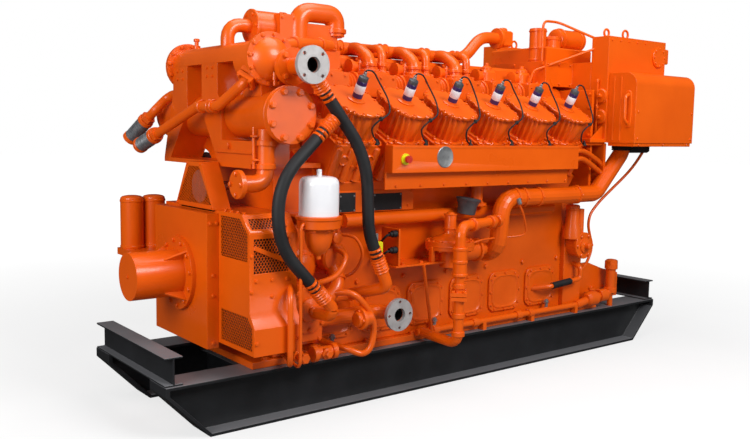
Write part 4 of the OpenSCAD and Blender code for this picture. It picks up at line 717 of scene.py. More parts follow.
class ENGINE_OT_hoses(bpy.types.Operator):
    """Coolant hoses with their clamps and sleeves"""
    bl_idname = "engine.hoses"
    bl_label = "Hoses"

    def execute(self, context):
        r = context.scene.engine_sizes.hose
        plane, bend = -0.73, 0.17
        upper_route = mm("-1290 1790, -1010 1450, -987 1040, -926 903")
        lower_route = mm("-1288 1587, -1558 1330, -1558 1010, -1328 766")
        upper, lower = (rounded([(x, plane, z) for x, z in route], bend, 24)
                        for route in (upper_route, lower_route))
        piece("hose_high", [tube(upper, r, 32)], "cured_rubber", replaces=["hose_upper"])
        piece("hose_low", [tube(lower, r, 32)], "cured_rubber", replaces=["hose_lower"])
        clamps, sleeves = [], []
        band = [(r + 0.0005, -0.007), (r + 0.003, -0.006), (r + 0.003, 0.006), (r + 0.0005, 0.007)]
        screw = mm("6 -14, 6.5 -12, 6.5 12, 6 14")
        wave = np.linspace(-0.085, -0.002, 34)
        ripple = np.stack([0.039 + 0.0035 * np.cos(np.linspace(0, 10 * np.pi, 34)), wave], -1)
        for path in (upper, lower):
            for at, toward in ((path[0], path[1] - path[0]), (path[-1], path[-2] - path[-1])):
                t = unit(toward)
                for step in (0.02, 0.048):
                    clamps.append(turned(band, at + t * step, t, 32))
                    clamps.append(turned(screw, at + t * step - Y * (r + 0.006), np.cross(t, Y), 10))
                sleeves.append(turned(ripple, at, t, 32))
        piece("hose_clamps", clamps, "sheet_enamel")
        piece("hose_sleeves", sleeves, "cast_enamel")
        return {"FINISHED"}


class ENGINE_OT_manifolds(bpy.types.Operator):
    """Bellows, lids, outlets and bolts of the exhaust boxes, and the water pipe above with its branches"""
    bl_idname = "engine.manifolds"
    bl_label = "Manifolds"

    def execute(self, context):
        size = context.scene.engine_sizes.bolt
        low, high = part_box("exhaust_manifold_near")
        middle = (low.y + high.y) / 2
        row = every(CYLINDER_X, middle, high.z)
        wave = np.linspace(-0.054, 0.054, 41)
        bellows = np.stack([0.07 + 0.006 * np.cos(wave / 0.054 * 5 * np.pi), wave], -1)
        gaps = row[:-1] + [PITCH / 2, 0, -0.0675]
        near = [turned(bellows, gaps, X, 32)]
        near += [collar(gaps + X * side, X, 0.084, 0.018) for side in (-0.048, 0.048)]
        lid = 0.014
        near.append(slab(soft_rectangle(0.205, 0.19, 6), plain_steps(lid, 0.004), row, X, Y))
        near += bolts(spread(row, every((-0.084, 0, 0.084), (-0.076, 0.076), lid)), Z, size * 0.8)
        near += bolts(spread(row, every((-0.095, 0, 0.095), -0.115, (-0.115, -0.02))), -Y, size * 0.7)
        outlet = row + [0.005, 0.075, 0.0]
        hump = mm("0 0, 4 75, 20 95")
        near.append(slab(soft_rectangle(0.125, 0.11, 4), hump, outlet, X, Y))
        near.append(turned(mm("34 0, 34 60, 46 62, 46 80, 30 84"), outlet + Z * 0.05 - X * 0.03, -X))
        near.append(turned(mm("40 90, 40 108, 26 120, 16 122, 16 138, 10 142"), outlet, Z))
        near += bolts(spread(outlet, every((-0.045, 0.045), 0, 0.092)), Z, size * 0.8)
        branch_x, pipe_z = CYLINDER_X[1:4] + 0.095, 2.095
        for x in branch_x:
            near.append(pipe([(x, 0, pipe_z), (x, middle, pipe_z), (x, middle, high.z + lid)], 0.026, 0.06))
        feet = every(branch_x, middle, high.z + lid + 0.008)
        near.append(collar(feet, Z, 0.044, 0.016))
        near.append(collar(feet + Z * 0.045, Z, 0.034, 0.024))
        piece("manifold_fittings", near + mirrored(near), "cast_enamel")
        start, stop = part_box("water_pipe")
        rise = stop.z - 0.04 - pipe_z
        run = [pipe([(start.x, 0, pipe_z), (stop.x - 2 * rise, 0, pipe_z), (stop.x - rise, 0, pipe_z + rise),
                     (stop.x, 0, pipe_z + rise)], 0.04, 0.09, 28)]
        for x in CYLINDER_X[1:4]:
            half = [(x, 0, pipe_z), (x, -0.09, pipe_z), (x, middle, pipe_z - 0.07), (x, middle, high.z)]
            elbow = [pipe(half, 0.038, 0.05, 22), collar((x, middle, high.z + lid + 0.01), Z, 0.06, 0.022),
                     collar((x, middle, high.z + 0.062), Z, 0.046, 0.02)]
            run += elbow + mirrored(elbow)
        run.append(block((start.x, -0.062, high.z - 0.06), (0.89, 0.062, pipe_z - 0.046), 0.02))
        piece("water_pipe_run", run, "cast_enamel", replaces=["water_pipe"])
        joints = every((-0.7, -0.345, 0.01, 0.29), 0, pipe_z)
        line = [collar(joints, X, 0.047, 0.06)]
        line += [collar(joints + X * side, X, 0.052, 0.01) for side in (-0.022, 0.022)]
        line += bolts(joints - Y * 0.046, -Y, size * 0.9)
        line += flange((0.7, 0, 2.26), X, 0.074, 0.026, 6, size)
        line.append(block((0.712, -0.06, 2.205), (0.8, 0.06, 2.315), 0.01))
        line.append(turned(mm("34 0, 34 12, 26 22, 10 26"), (0.756, 0, 2.315), Z))
        piece("water_pipe_fittings", line, "sheet_enamel")
        return {"FINISHED"}


class ENGINE_OT_rails(bpy.types.Operator):
    """Lid edges and bolts of the side rails, the plain disc, the blank plates under them and the door rims"""
    bl_idname = "engine.rails"
    bl_label = "Rails and doors"

    def execute(self, context):
        size = context.scene.engine_sizes.bolt
        low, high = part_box("side_rail_near")
        lip = low.y + 0.048
        near = [block((-0.806, low.y - 0.003, high.z - 0.014), (high.x, low.y, high.z - 0.001), 0.001)]
        near += bolts(line_places((-0.74, lip, 1.283), (0.72, lip, 1.283), 9), -Y, size * 0.6)
        near += bolts(line_places((-0.77, -0.6, high.z), (0.75, -0.6, high.z), 7), Z, size * 0.7)
        door_x = CYLINDER_X - 0.036
        door = every(door_x, -0.416, 0.525)
        rim = mm("0 0, 4 6, 12 7, 18 2, 34 1")
        near.append(slab(soft_rectangle(0.262, 0.232, 4.0), rim, door, X, Z))
        ring = soft_rectangle(0.276, 0.246, 4.0, 12)
        around = np.stack([ring[:, 0], np.zeros(len(ring)), ring[:, 1]], -1)
        near += bolts(spread(door, around), -Y, size * 0.7)
        near += bolts(every(door_x + PITCH / 2, -0.4, 0.708), -Y, size * 1.2)
        near += bolts(line_places((-1.45, -0.42, 0.34), (1.35, -0.42, 0.34), 9), Z, size * 1.4)
        piece("rail_and_door_fittings", near + mirrored(near), "cast_enamel")
        face, plate = -0.47, -0.4735
        panel = [block((-1.03, face, 1.124), (-0.455, -0.4, 1.25))]
        panel += bolts([(-0.494, face, 1.151), (-1.018, face, 1.238), (-0.47, face, 1.238)], -Y, size * 0.7)
        piece("plate_panel", panel, "sheet_enamel")
        plates = [block((-1.003, plate, 1.13), (-0.889, face, 1.24), 0.001),
                  block((-0.761, plate, 1.13), (-0.547, face, 1.228), 0.001)]
        piece("blank_plates", plates, "black_plate")
        pins = every((-0.994, -0.898, -0.752, -0.556), plate, (1.138, 1.22))
        disc = mm("62 0, 62 3, 59 5, 54 3, 10 3")
        bright = [turned(disc, (-0.415, low.y, 1.447), -Y, 40)] + bolts(pins, -Y, 0.005)
        piece("plain_disc_and_pins", bright, "zinc_plate")
        return {"FINISHED"}


class ENGINE_OT_coolers(bpy.types.Operator):
    """Bolts, pipes and valves of tank, oil cooler and mixer, the connectors, the filter, and painted shade in
    the arch and the bores
    """
    bl_idname = "engine.coolers"
    bl_label = "Coolers and filter"

    def execute(self, context):
        size = context.scene.engine_sizes.bolt
        tank = np.array([-1.48, 0, 1.95])
        cooler = np.array([-1.442, 0, 1.665])
        nozzle = np.array([-1.4, 0, 1.913])
        fit = []
        for side, face in ((-1, 0.525), (1, 0.457)):
            for end, out in ((face, side), (face - 0.025, -side)):
                fit += bolts(ring_places(tank + Y * side * end, Y, 0.127, 12, 0.13), Y * out, size * 0.85)
        for side in (-1, 1):
            fit.append(collar(cooler + Y * side * 0.636, Y, 0.151, 0.01))
            fit += bolts(ring_places(cooler + Y * side * 0.67, Y, 0.124, 8, 0.39), Y * side, size * 1.4)
        for end, out in ((0.62, -1), (0.58, 1)):
            fit += bolts(ring_places(nozzle - Y * end, Y, 0.0762, 4, math.pi / 4), Y * out, size * 1.2)
        cock = mm("22 0, 22 18, 12 22, 12 42, 18 45, 18 58, 12 62")
        fit.append(turned(cock, every(-1.48, (-0.03, 0.33), 2.052), Z, 12))
        drain = np.array([-1.48, -0.56, 1.862])
        fit.append(turned(mm("13 -20, 13 20, 8 24, 8 48"), drain, -Z, 12))
        fit.append(tube([drain - X * 0.026, drain + X * 0.026], 0.0045, 8))
        front = -1.585
        for y, z in (((-0.075, -0.01), (1.922, 1.876)), ((0.302, 0.368), (1.918, 1.872))):
            fit += bolts(every(front, y, z), -X, size * 0.7)
        fit.append(block((-1.6, -0.54, 1.462), (front, -0.134, 1.472), 0.002))
        fit += bolts([(front, -0.27, 1.5)], -X, size * 1.4)
        plane = -0.56
        for x, foot, head in ((-1.602, 1.39, 1.6), (-1.488, 1.39, 1.575)):
            fit.append(tube([(x, plane, foot), (x, plane, head)], 0.007, 10))
        for z in (1.428, 1.548):
            fit.append(block((-1.614, plane - 0.014, z), (-1.476, plane + 0.014, z + 0.012), 0.002))
        drop, mouth = -1.532, (-1.69, plane, 1.312)
        fit.append(pipe([(drop, plane, 1.59), (drop, plane, mouth[2]), mouth], 0.045, 0.09, 24))
        fit += flange(mouth, -X, 0.074, 0.026, 4, size)
        fit.append(collar(every(drop, plane, (1.52, 1.4)), Z, 0.054, 0.028))
        fit.append(pipe(mm("-1430 -500 2020, -1257 -450 2050, -960 -300 2070"), 0.031, 0.05))
        fit.append(collar(mm("-1300 -462 2043, -1060 -350 2063"), unit([0.9, 0.4, 0.06]), 0.041, 0.03))
        arch_pipe = mm("-1114 -200 2065, -1114 -200 2258, -855 -200 2258, -855 -200 2135")
        fit.append(pipe(arch_pipe, 0.055, 0.1, 28))
        fall, joint = unit([-0.125, 0, -0.13]), np.array([-1.575, -0.455, 1.852])
        for near, far in ((-0.028, -0.003), (0.003, 0.028)):
            fit.append(turned([(0.064, near), (0.064, far)], joint, fall, 4, False))
        fit += bolts(ring_places(joint + fall * 0.028, fall, 0.048, 4), fall, size * 0.8)
        fit.append(collar(every(-1.655, (-0.23, -0.19, -0.09), 1.708), Y, 0.037, 0.026))
        fit.append(collar(every((-1.358, -1.153), -0.1, 2.16), X, 0.097, 0.016))
        fit += bolts(ring_places((-1.368, -0.1, 2.16), -X, 0.072, 6), -X, size * 0.8)
        for x, top in (((-1.23, -1.15), 2.232), ((-1.08, -0.87), 2.193)):
            fit += bolts(every(x, (-0.208, 0.008), top), Z, size * 0.7)
            fit += bolts(every(x, -0.225, (2.075, top - 0.02)), -Y, size * 0.7)
        fit.append(collar(mm("-1114 -200 2085, -855 -200 2165"), Z, 0.066, 0.026))
        foot = np.array([-1.294, -0.7, 1.08])
        base = mm("104 0, 114 6, 114 46, 122 52, 122 66, 112 70")
        bowl = mm("80 0, 80 14, 73 18, 73 46, 68 74, 57 102, 38 126, 18 138, 14 142, 14 160, 10 164")
        seat = [turned(base, foot, Z, 40), turned(bowl, foot, -Z, 32)]
        seat += bolts(ring_places(foot + Z * 0.002, -Z, 0.092, 8), -Z, size * 0.8)
        seat.append(block((-1.35, -0.64, 1.086), (-1.238, -0.418, 1.142), 0.012))
        piece("filter_seat", seat, "cast_enamel", replaces=["filter_base"])
        # near-black disc in the arch and liners in the two bores: painted shade where these openings fall
        # dark
        arch = mm("122 0, 122 10, 104 14, 98 4, 52 4, 46 16, 30 20")
        bore = mm("1 50, 37 50, 37 0, 37.8 0, 37.8 53, 1 53")
        dark = [turned(arch, (-1.362, 0.44, 1.321), -X, 40)]
        dark.append(turned(bore, mm("-1400 -775 1913, -689 -625 537"), Y, 32))
        piece("painted_shade_in_arch_and_bores", dark, "black_plate")
        braid = []
        wave = np.linspace(-0.0945, 0.0945, 121)
        ripple = np.stack([0.0428 + 0.0022 * np.cos(wave / 0.0945 * 18 * np.pi), wave], -1)
        runs = (((-1.731, 0.4749, 1.5114), (-0.1365, 0.9255, -0.3533)),
                ((-1.6971, 0.6999, 1.5728), (-0.2962, 0.715, -0.6333)))
        for middle, axis in runs:
            middle, axis = np.array(middle), unit(axis)
            braid.append(turned(ripple, middle, axis, 32))
            fit.append(collar(along(middle, axis, -0.082, 0.082), axis, 0.048, 0.026))
            fit.append(turned(mm("43 -125, 43 -98"), middle, axis, 6, False))
        piece("cooler_fittings", fit, "cast_enamel")
        piece("braided_connectors", braid, "dull_aluminium", replaces=["ribbed_connectors"])
        can = mm("105 0, 105 160, 103.5 174, 98 187, 87 197, 66 203, 40 205.2, 15 206, 14 208, 14 236, "
                 "10 240")
        piece("filter_shell", [turned(can, foot + Z * 0.07, Z, 48)], "white_enamel",
              replaces=["filter_can"])
        return {"FINISHED"}


class ENGINE_OT_pump(bpy.types.Operator):
    """Covers, bolts, castings, drains and tubes around the coolant pump"""
    bl_idname = "engine.pump"
    bl_label = "Coolant pump"

    def execute(self, context):
        s = context.scene.engine_sizes
        size, r = s.bolt, s.tubing
        pump, thermostat = np.array([-1.26, -0.57, 0.62]), np.array([-1.05, -0.4, 0.88])
        fit = flange(pump + Y * 0.008, -Y, 0.132, 0.02, 8, size)
        nose = mm("72 0, 66 16, 40 24, 24 26, 24 48, 16 54")
        fit.append(turned(nose, pump, -Y, 32))
        casting = mm("104 0, 104 18, 86 22, 84 105, 74 118, 40 126, 18 128")
        fit.append(turned(casting, thermostat, -Y, 32))
        fit += bolts(ring_places(thermostat - Y * 0.018, -Y, 0.094, 8), -Y, size * 0.8)
        bypass = mm("-1062 -500 940, -1075 -640 907, -1153 -665 815, -1250 -620 770, -1262 -520 720")
        loop = mm("-1160 -540 690, -1044 -670 701, -924 -690 558, -921 -690 415, -969 -670 358, "
                  "-1045 -610 384, -1100 -410 400")
        fit += [tube(eased(bypass), r, 14), tube(eased(loop), r * 1.2, 14)]
        side = np.array([-1.0, -0.69, 0.56])
        fit += flange(side, -X, 0.06, 0.022, 4, size * 0.8)
        fit.append(collar(side + X * 0.014, X, 0.042, 0.1, 0.006))
        for spot, wide in (((-1.315, -0.42, 1.0), 0.072), ((-1.225, -0.42, 0.835), 0.096)):
            lid = [(wide, 0), (wide, 0.014), (wide * 0.78, 0.018), (wide * 0.72, 0.04), (wide * 0.4, 0.048),
                   (wide * 0.2, 0.05)]
            fit.append(turned(lid, spot, -Y, 32))
            fit += bolts(ring_places(np.array(spot) - Y * 0.014, -Y, wide * 0.88, 8), -Y, size * 0.7)
        fit.append(block((-1.35, -0.56, 0.425), (-1.17, -0.405, 0.56), 0.022))
        fit.append(block((-1.15, -0.5, 0.955), (-1.01, -0.4, 1.045), 0.014))
        fit += bolts(every((-1.13, -1.03), -0.5, (0.972, 1.028)), -Y, size * 0.8)
        nipple = mm("34 0, 34 20, 24 24, 24 50, 30 54, 30 74, 16 80")
        fit.append(turned(nipple, (-1.08, -0.5, 1.0), -Y))
        fit.append(pipe(mm("-1060 -500 820, -1070 -575 740, -1160 -570 660"), 0.04, 0.05, 20))
        fit.append(collar((-1.066, -0.545, 0.772), unit([0.1, 0.6, 0.8]), 0.05, 0.03))
        hook = mm("-1010 -480 1010, -950 -560 990, -930 -600 900, -960 -560 800, -1020 -500 760")
        fit.append(tube(eased(hook), r * 0.6, 10))
        fit += bolts(every((-1.33, -1.19), -0.56, (0.45, 0.535)), -Y, size * 0.8)
        riser = mm("-1300 -410 372, -1484 -735 372, -1486 -735 772, -1380 -560 790, -1330 -410 790")
        drip = mm("-1350 -410 360, -1425 -738 360, -1428 -738 1112, -1360 -715 1120")
        fit += [pipe(riser, r, 0.09), pipe(drip, r * 0.6, 0.06, 12)]
        tee = np.array([-1.2, -0.62, 0.388])
        fit.append(pipe([tee - X * 0.075, tee + X * 0.075], 0.033))
        fit.append(collar(along(tee, X, -0.062, 0.062), X, 0.044, 0.03))
        fit.append(pipe([tee, tee + Y * 0.215], 0.028))
        plug = mm("34 20, 34 42, 22 46, 22 62, 18 66")
        fit.append(turned(plug, tee, -Y, 6, False))
        tap = np.array([-1.345, -0.64, 0.382])
        fit += [pipe([tap + Y * 0.24, tap], 0.024), collar(tap + Y * 0.05, Y, 0.034, 0.024)]
        fit.append(turned(mm("30 0, 30 26, 24 32"), tap, -Y, 6, False))
        piece("pump_fittings", fit, "cast_enamel")
        return {"FINISHED"}


class ENGINE_OT_gas_train(bpy.types.Operator):
    """Bolts, brackets, tubes and sensors of the gas train, air pipe clamps, drain fittings and jack screws"""
    bl_idname = "engine.gas_train"
    bl_label = "Gas train"

    def execute(self, context):
        s = context.scene.engine_sizes
        size, thin = s.bolt, s.tubing * 0.45
        regulator = np.array([-0.24, -0.572, 0.932])
        fit = bolts(ring_places(regulator, Z, 0.136, 16), Z, size * 0.75)
        fit += bolts(ring_places(regulator - Z * 0.05, -Z, 0.136, 16), -Z, size * 0.75)
        fit.append(collar(regulator - Z * 0.025, Z, 0.153, 0.008, 0.002))
        dome = mm("120 0, 116 10, 94 22, 62 30, 40 46, 37 60")
        fit.append(turned(dome, regulator, Z, 40))
        fit.append(collar(along(regulator, Z, 0.075, 0.16), Z, 0.041, 0.01, 0.002))
        fit.append(block((-0.683, -0.6, 0.8), (-0.3, -0.4, 0.812)))
        fit.append(block((-0.668, -0.6, 0.812), (-0.656, -0.44, 1.03)))
        fit.append(block((-0.402, -0.59, 0.812), (-0.376, -0.564, 0.905)))
        fit += bolts(mm("-600 -560 812, -460 -560 812"), Z, size)
        fit.append(tube(mm("-469 -595 800, -280 -470 345"), s.tubing * 0.7, 10))
        riser = np.array([-0.33, -0.76, 0.0])
        fit.append(collar(along(riser, Z, 0.755, 0.833, 0.91), Z, 0.047, 0.018))
        for near, far in ((-0.024, -0.002), (0.002, 0.024)):
            fit.append(turned([(0.068, near), (0.068, far)], riser + Z * 0.628, Z, 4, False))
        fit += bolts(ring_places(riser + Z * 0.652, Z, 0.05, 4), Z, size)
        fit.append(collar(along(riser, Z, 0.688, 0.51, 0.4), Z, 0.04, 0.03))
        run = unit([0.476, 0.14, 0])
        fit.append(collar(along((0.085, -0.648, 1.042), run, -0.3, -0.08, 0.0), run, 0.041, 0.034))
        post = np.array([0.05, -0.5, 1.125])
        fit.append(pipe([post, post + Z * 0.15], 0.038))
        fit += flange(post + Z * 0.012, Z, 0.064, 0.02, 4, size)
        body = np.array([-0.06, -0.53, 0.85])
        fit.append(turned(mm("46 -90, 62 -70, 62 70, 74 74, 74 92, 40 96, 40 200"), body, X, 32))
        fit += bolts(ring_places(body + X * 0.092, X, 0.06, 6), X, size * 0.8)
        for route in (mm("-90 -600 905, 18 -610 925, 197 -610 921, 185 -610 850, 111 -590 835"),
                      mm("280 -655 1140, 330 -650 1060, 374 -630 950, 300 -600 925, 190 -560 925")):
            fit.append(tube(eased(route), thin, 10))
        bands = every((0.29, 0.363, 0.507, 0.9), -0.6, 1.178)
        fit.append(collar(bands, X, 0.065, 0.022))
        fit += bolts(bands - Y * 0.064, -Y, size * 0.6)
        fit.append(collar(every((-0.25, 0.1, 0.514, 0.635, 1.15), -0.464, 0.356), X, 0.029, 0.05))
        outfall = mm("1150 -464 356, 1290 -470 386, 1430 -455 392, 1550 -444 400")
        fit.append(pipe(outfall, 0.03, 0.03))
        stub = np.array([1.55, -0.444, 0.0])
        fit.append(collar(along(stub, Z, 0.42, 0.6), Z, 0.048, 0.04))
        fit.append(tube([stub + Z * 0.395, stub + Z * 0.61], 0.036, 20))
        cap = mm("52 0, 52 24, 36 34, 14 38")
        fit.append(turned(cap, stub + Z * 0.618, Z, 6, False))
        valve = np.array([1.29, -0.47, 0.386])
        fit.append(turned(mm("36 -60, 54 -40, 54 40, 36 60"), valve, X, 20))
        fit.append(turned(mm("16 30, 16 62, 26 66, 26 78"), valve, Z, 12))
        fit.append(collar((1.43, -0.455, 0.392), X, 0.047, 0.08))
        hose_line = mm("700 -410 510, 790 -500 530, 1116 -500 556, 1116 -500 640, 1116 -420 660")
        fit.append(pipe(hose_line, 0.017, 0.03))
        piece("gas_train_fittings", fit, "cast_enamel")
        sleeve = [tube(mm("812 -500 532, 1005 -500 547"), 0.0235, 20)]
        for z in (0.905, 1.0):
            sleeve.append(turned(mm("20 0, 20 30, 14 34, 14 50"), (-0.668, -0.575, z), -X, 16))
            sleeve.append(tube(eased([(-0.71, -0.575, z), (-0.74, -0.572, z - 0.01),
                                      (-0.745, -0.52, z - 0.05), (-0.72, -0.41, z - 0.07)]), thin, 8))
        piece("sensor_plugs_and_sleeve", sleeve, "cured_rubber")
        shell = [block((-0.846, -0.616, 0.9), (-0.797, -0.588, 0.968), 0.006)]
        piece("connector_shell", shell, "yellow_plastic")
        cup = mm("46 -48, 56 -44, 60 10, 74 40, 78 46, 78 54, 60 56, 20 52")
        piece("sensor_bell", [turned(cup, (-0.09, -0.56, 1.132), unit([0.12, -0.08, 1]), 40)], "grey_nylon")
        jacks = every((-1.025, -0.243, 0.814), -0.452, 0.0)
        zinc = [collar(jacks + Z * 0.385, Z, 0.011, 0.09, 0.002)] + bolts(jacks + Z * 0.408, Z, size * 1.3)
        zinc.append(collar((0.269, -0.662, 1.16), unit([0.3, -0.2, -1]), 0.014, 0.04, 0.002))
        zinc.append(collar((-0.836, -0.602, 0.985), Z, 0.012, 0.06, 0.002))
        piece("jacking_screws", zinc, "zinc_plate")
        return {"FINISHED"}


class ENGINE_OT_rear(bpy.types.Operator):
    """Starter, foot plates, hood handles and eyes, lifting bars, bulkhead, lid, drum, pipes and air boots"""
    bl_idname = "engine.rear"
    bl_label = "Rear end"

    def execute(self, context):
        s = context.scene.engine_sizes
        size, r = s.bolt, s.tubing
        starter = np.array([1.104, -0.536, 0.8])
        fit = flange(starter + Y * 0.01, -Y, 0.095, 0.024, 6, size * 0.9)
        fit.append(turned(mm("52 0, 50 12, 30 16, 22 18, 22 50, 16 54"), starter, -Y, 28))
        neck = mm("70 0, 66 60, 50 110, 44 200, 50 205, 50 235, 36 242")
        fit.append(turned(neck, (1.04, -0.47, 0.85), Z, 28))
        fit += bolts(ring_places((1.2, 0, CRANK_Z), X, 0.372, 16, 0.2), X, size * 1.2)
        rear_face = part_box("flywheel_housing")[1].x
        fit += bolts(ring_places((rear_face, 0, CRANK_Z), X, 0.08, 8), X, size)
        foot = mm("1260 345, 1740 345, 1740 525, 1540 575, 1370 634, 1260 634")
        middle = foot.mean(0)
        for side in (-0.35, 0.366):
            fit.append(slab(foot - middle, plain_steps(0.016, 0.003), (middle[0], side, middle[1]), X, Z))
        fit += bolts(every((1.42, 1.56, 1.69), -0.366, 0.44), -Y, size)
        piece("starter_and_housing_bolts", fit, "cast_enamel")
        hood, handle = [], -0.782
        for y in (-0.659, -0.717):
            hood.append(tube([(1.199, y, 1.552), (1.199, y, 1.992)], 0.006, 10))
        grip = soft_rectangle(0.056, 0.25, 4)
        hood.append(slab(grip, plain_steps(0.01, 0.004), (1.2, handle, 1.768), -Y, Z))
        hood.append(pipe([(1.195, handle, 1.868), (1.16, handle, 1.85), (1.16, handle, 1.69),
                          (1.195, handle, 1.668)], 0.011, 0.03, 12))
        hood.append(block((1.206, -0.832, 1.512), (1.89, -0.62, 1.538)))
        hood += bolts(every((1.26, 1.55, 1.84), -0.832, 1.524), -Y, size * 0.6)
        hood += bolts(every((1.23, 1.875), -0.84, (1.565, 1.75)), -Y, size * 0.6)
        latch = mm("52 0, 52 8, 44 14, 14 15, 14 30, 10 34")
        hood.append(turned(latch, every(1.18, -0.566, (1.714, 1.86)), -X, 28))
        hood.append(tube(mm("1166 -540 1594, 1166 -540 1973"), 0.007, 10))
        hood.append(collar(every(1.166, -0.54, (1.6, 1.785, 1.968)), Z, 0.012, 0.022, 0.002))
        hood += bolts(line_places((1.215, -0.612, 2.25), (1.6, -0.612, 2.25), 5), -Y, size * 0.6)
        hood += flange((1.761, -0.618, 2.16), -Y, 0.074, 0.016, 8, size * 0.6)
        hood.append(block((1.835, -0.59, 2.12), (1.925, -0.5, 2.23), 0.006))
        bracket = mm("-105 -80, 105 -80, 105 80")
        hood.append(slab(bracket, plain_steps(0.012, 0.002), (1.11, -0.575, 1.595), X, Z))
        eye = np.linspace(0, 2 * np.pi, 25)
        for x, z, big in ((1.24, 2.302, 0.026), (1.456, 2.306, 0.03)):
            loop = np.stack([x + big * np.cos(eye), np.full(25, -0.54), z + big * np.sin(eye)], -1)
            hood += [tube(loop, 0.008, 10), collar((x, -0.54, 2.279), Z, 0.02, 0.01)]
        piece("hood_fittings", hood + mirrored(hood), "sheet_enamel")
        lift = [pipe(mm("904 -250 2100, 904 -250 2382, 1063 -250 2386, 1240 -470 2262"), 0.009, 0.05, 12)]
        lift.append(pipe(mm("800 -230 1940, 830 -240 2030, 1185 -480 2190"), 0.009, 0.03, 12))
        can, pot = np.array([0.965, -0.15, 0.0]), np.array([1.105, -0.15, 0.0])
        lift.append(collar(along(can, Z, 2.118, 2.2, 2.322), Z, 0.065, 0.014))
        lift.append(collar(along(pot, Z, 2.118, 2.272), Z, 0.077, 0.014))
        lift += bolts(ring_places(pot + Z * 2.29, Z, 0.055, 6), Z, size * 0.6)
        lift += bolts(every(0.89, (-0.27, 0.0, 0.27), (1.945, 2.08)), -X, size * 0.8)
        lift += bolts(every((0.915, 1.035, 1.155), -0.3, (1.945, 2.08)), -Y, size * 0.8)
        lift.append(block((1.085, -0.56, 1.2), (1.108, 0.56, 1.9), 0.003))
        legs = [block((1.19, -0.6, 1.2), (1.215, -0.4, 1.53), 0.003)]
        lift += legs + mirrored(legs)
        lift += bolts(line_places((1.085, -0.54, 1.4), (1.085, -0.54, 1.87), 6), -X, size * 0.8)
        lift.append(block((0.925, -0.27, 2.08), (1.42, 0.27, 2.205), 0.01))
        drum = mm("60 -140, 74 -132, 74 132, 60 140")
        lift.append(turned(drum, (1.285, -0.15, 2.28), X))
        lift.append(collar(every((1.19, 1.38), -0.15, 2.28), X, 0.082, 0.016))
        down = [pipe(mm("930 -210 1857, 1085 -210 1857, 1085 -210 1560"), 0.078, 0.12, 28),
                collar((0.965, -0.21, 1.857), X, 0.096, 0.024), collar((1.085, -0.21, 1.6), Z, 0.096, 0.024)]
        routes = (mm("780 -660 1470, 904 -640 1477, 1070 -610 1428, 1180 -580 1380, 1200 -520 1330"),
                  mm("780 -660 1415, 908 -640 1422, 1086 -610 1358, 1190 -580 1310, 1205 -520 1260"))
        conduits = [tube(eased(route), r * 1.2, 16) for route in routes]
        fuel = mm("1640 -640 1515, 1560 -560 1330, 1340 -450 1080, 1255 -445 950, 1300 -445 775, "
                  "1262 -445 667, 1215 -430 600")
        conduits.append(tube(eased(fuel), r * 0.7, 12))
        piece("lifting_frame_and_pipes", lift + down + mirrored(down) + conduits, "sheet_enamel")
        folds = mm("70 0, 76 6, 70 14, 76 22, 70 30, 70 36")
        boots = [turned(folds, (1.4, -0.6, 1.48), Z, 36)]
        boots.append(block((1.43, -0.65, 1.462), (1.66, -0.56, 1.52), 0.012))
        piece("air_boots", boots, "cured_rubber")
        return {"FINISHED"}


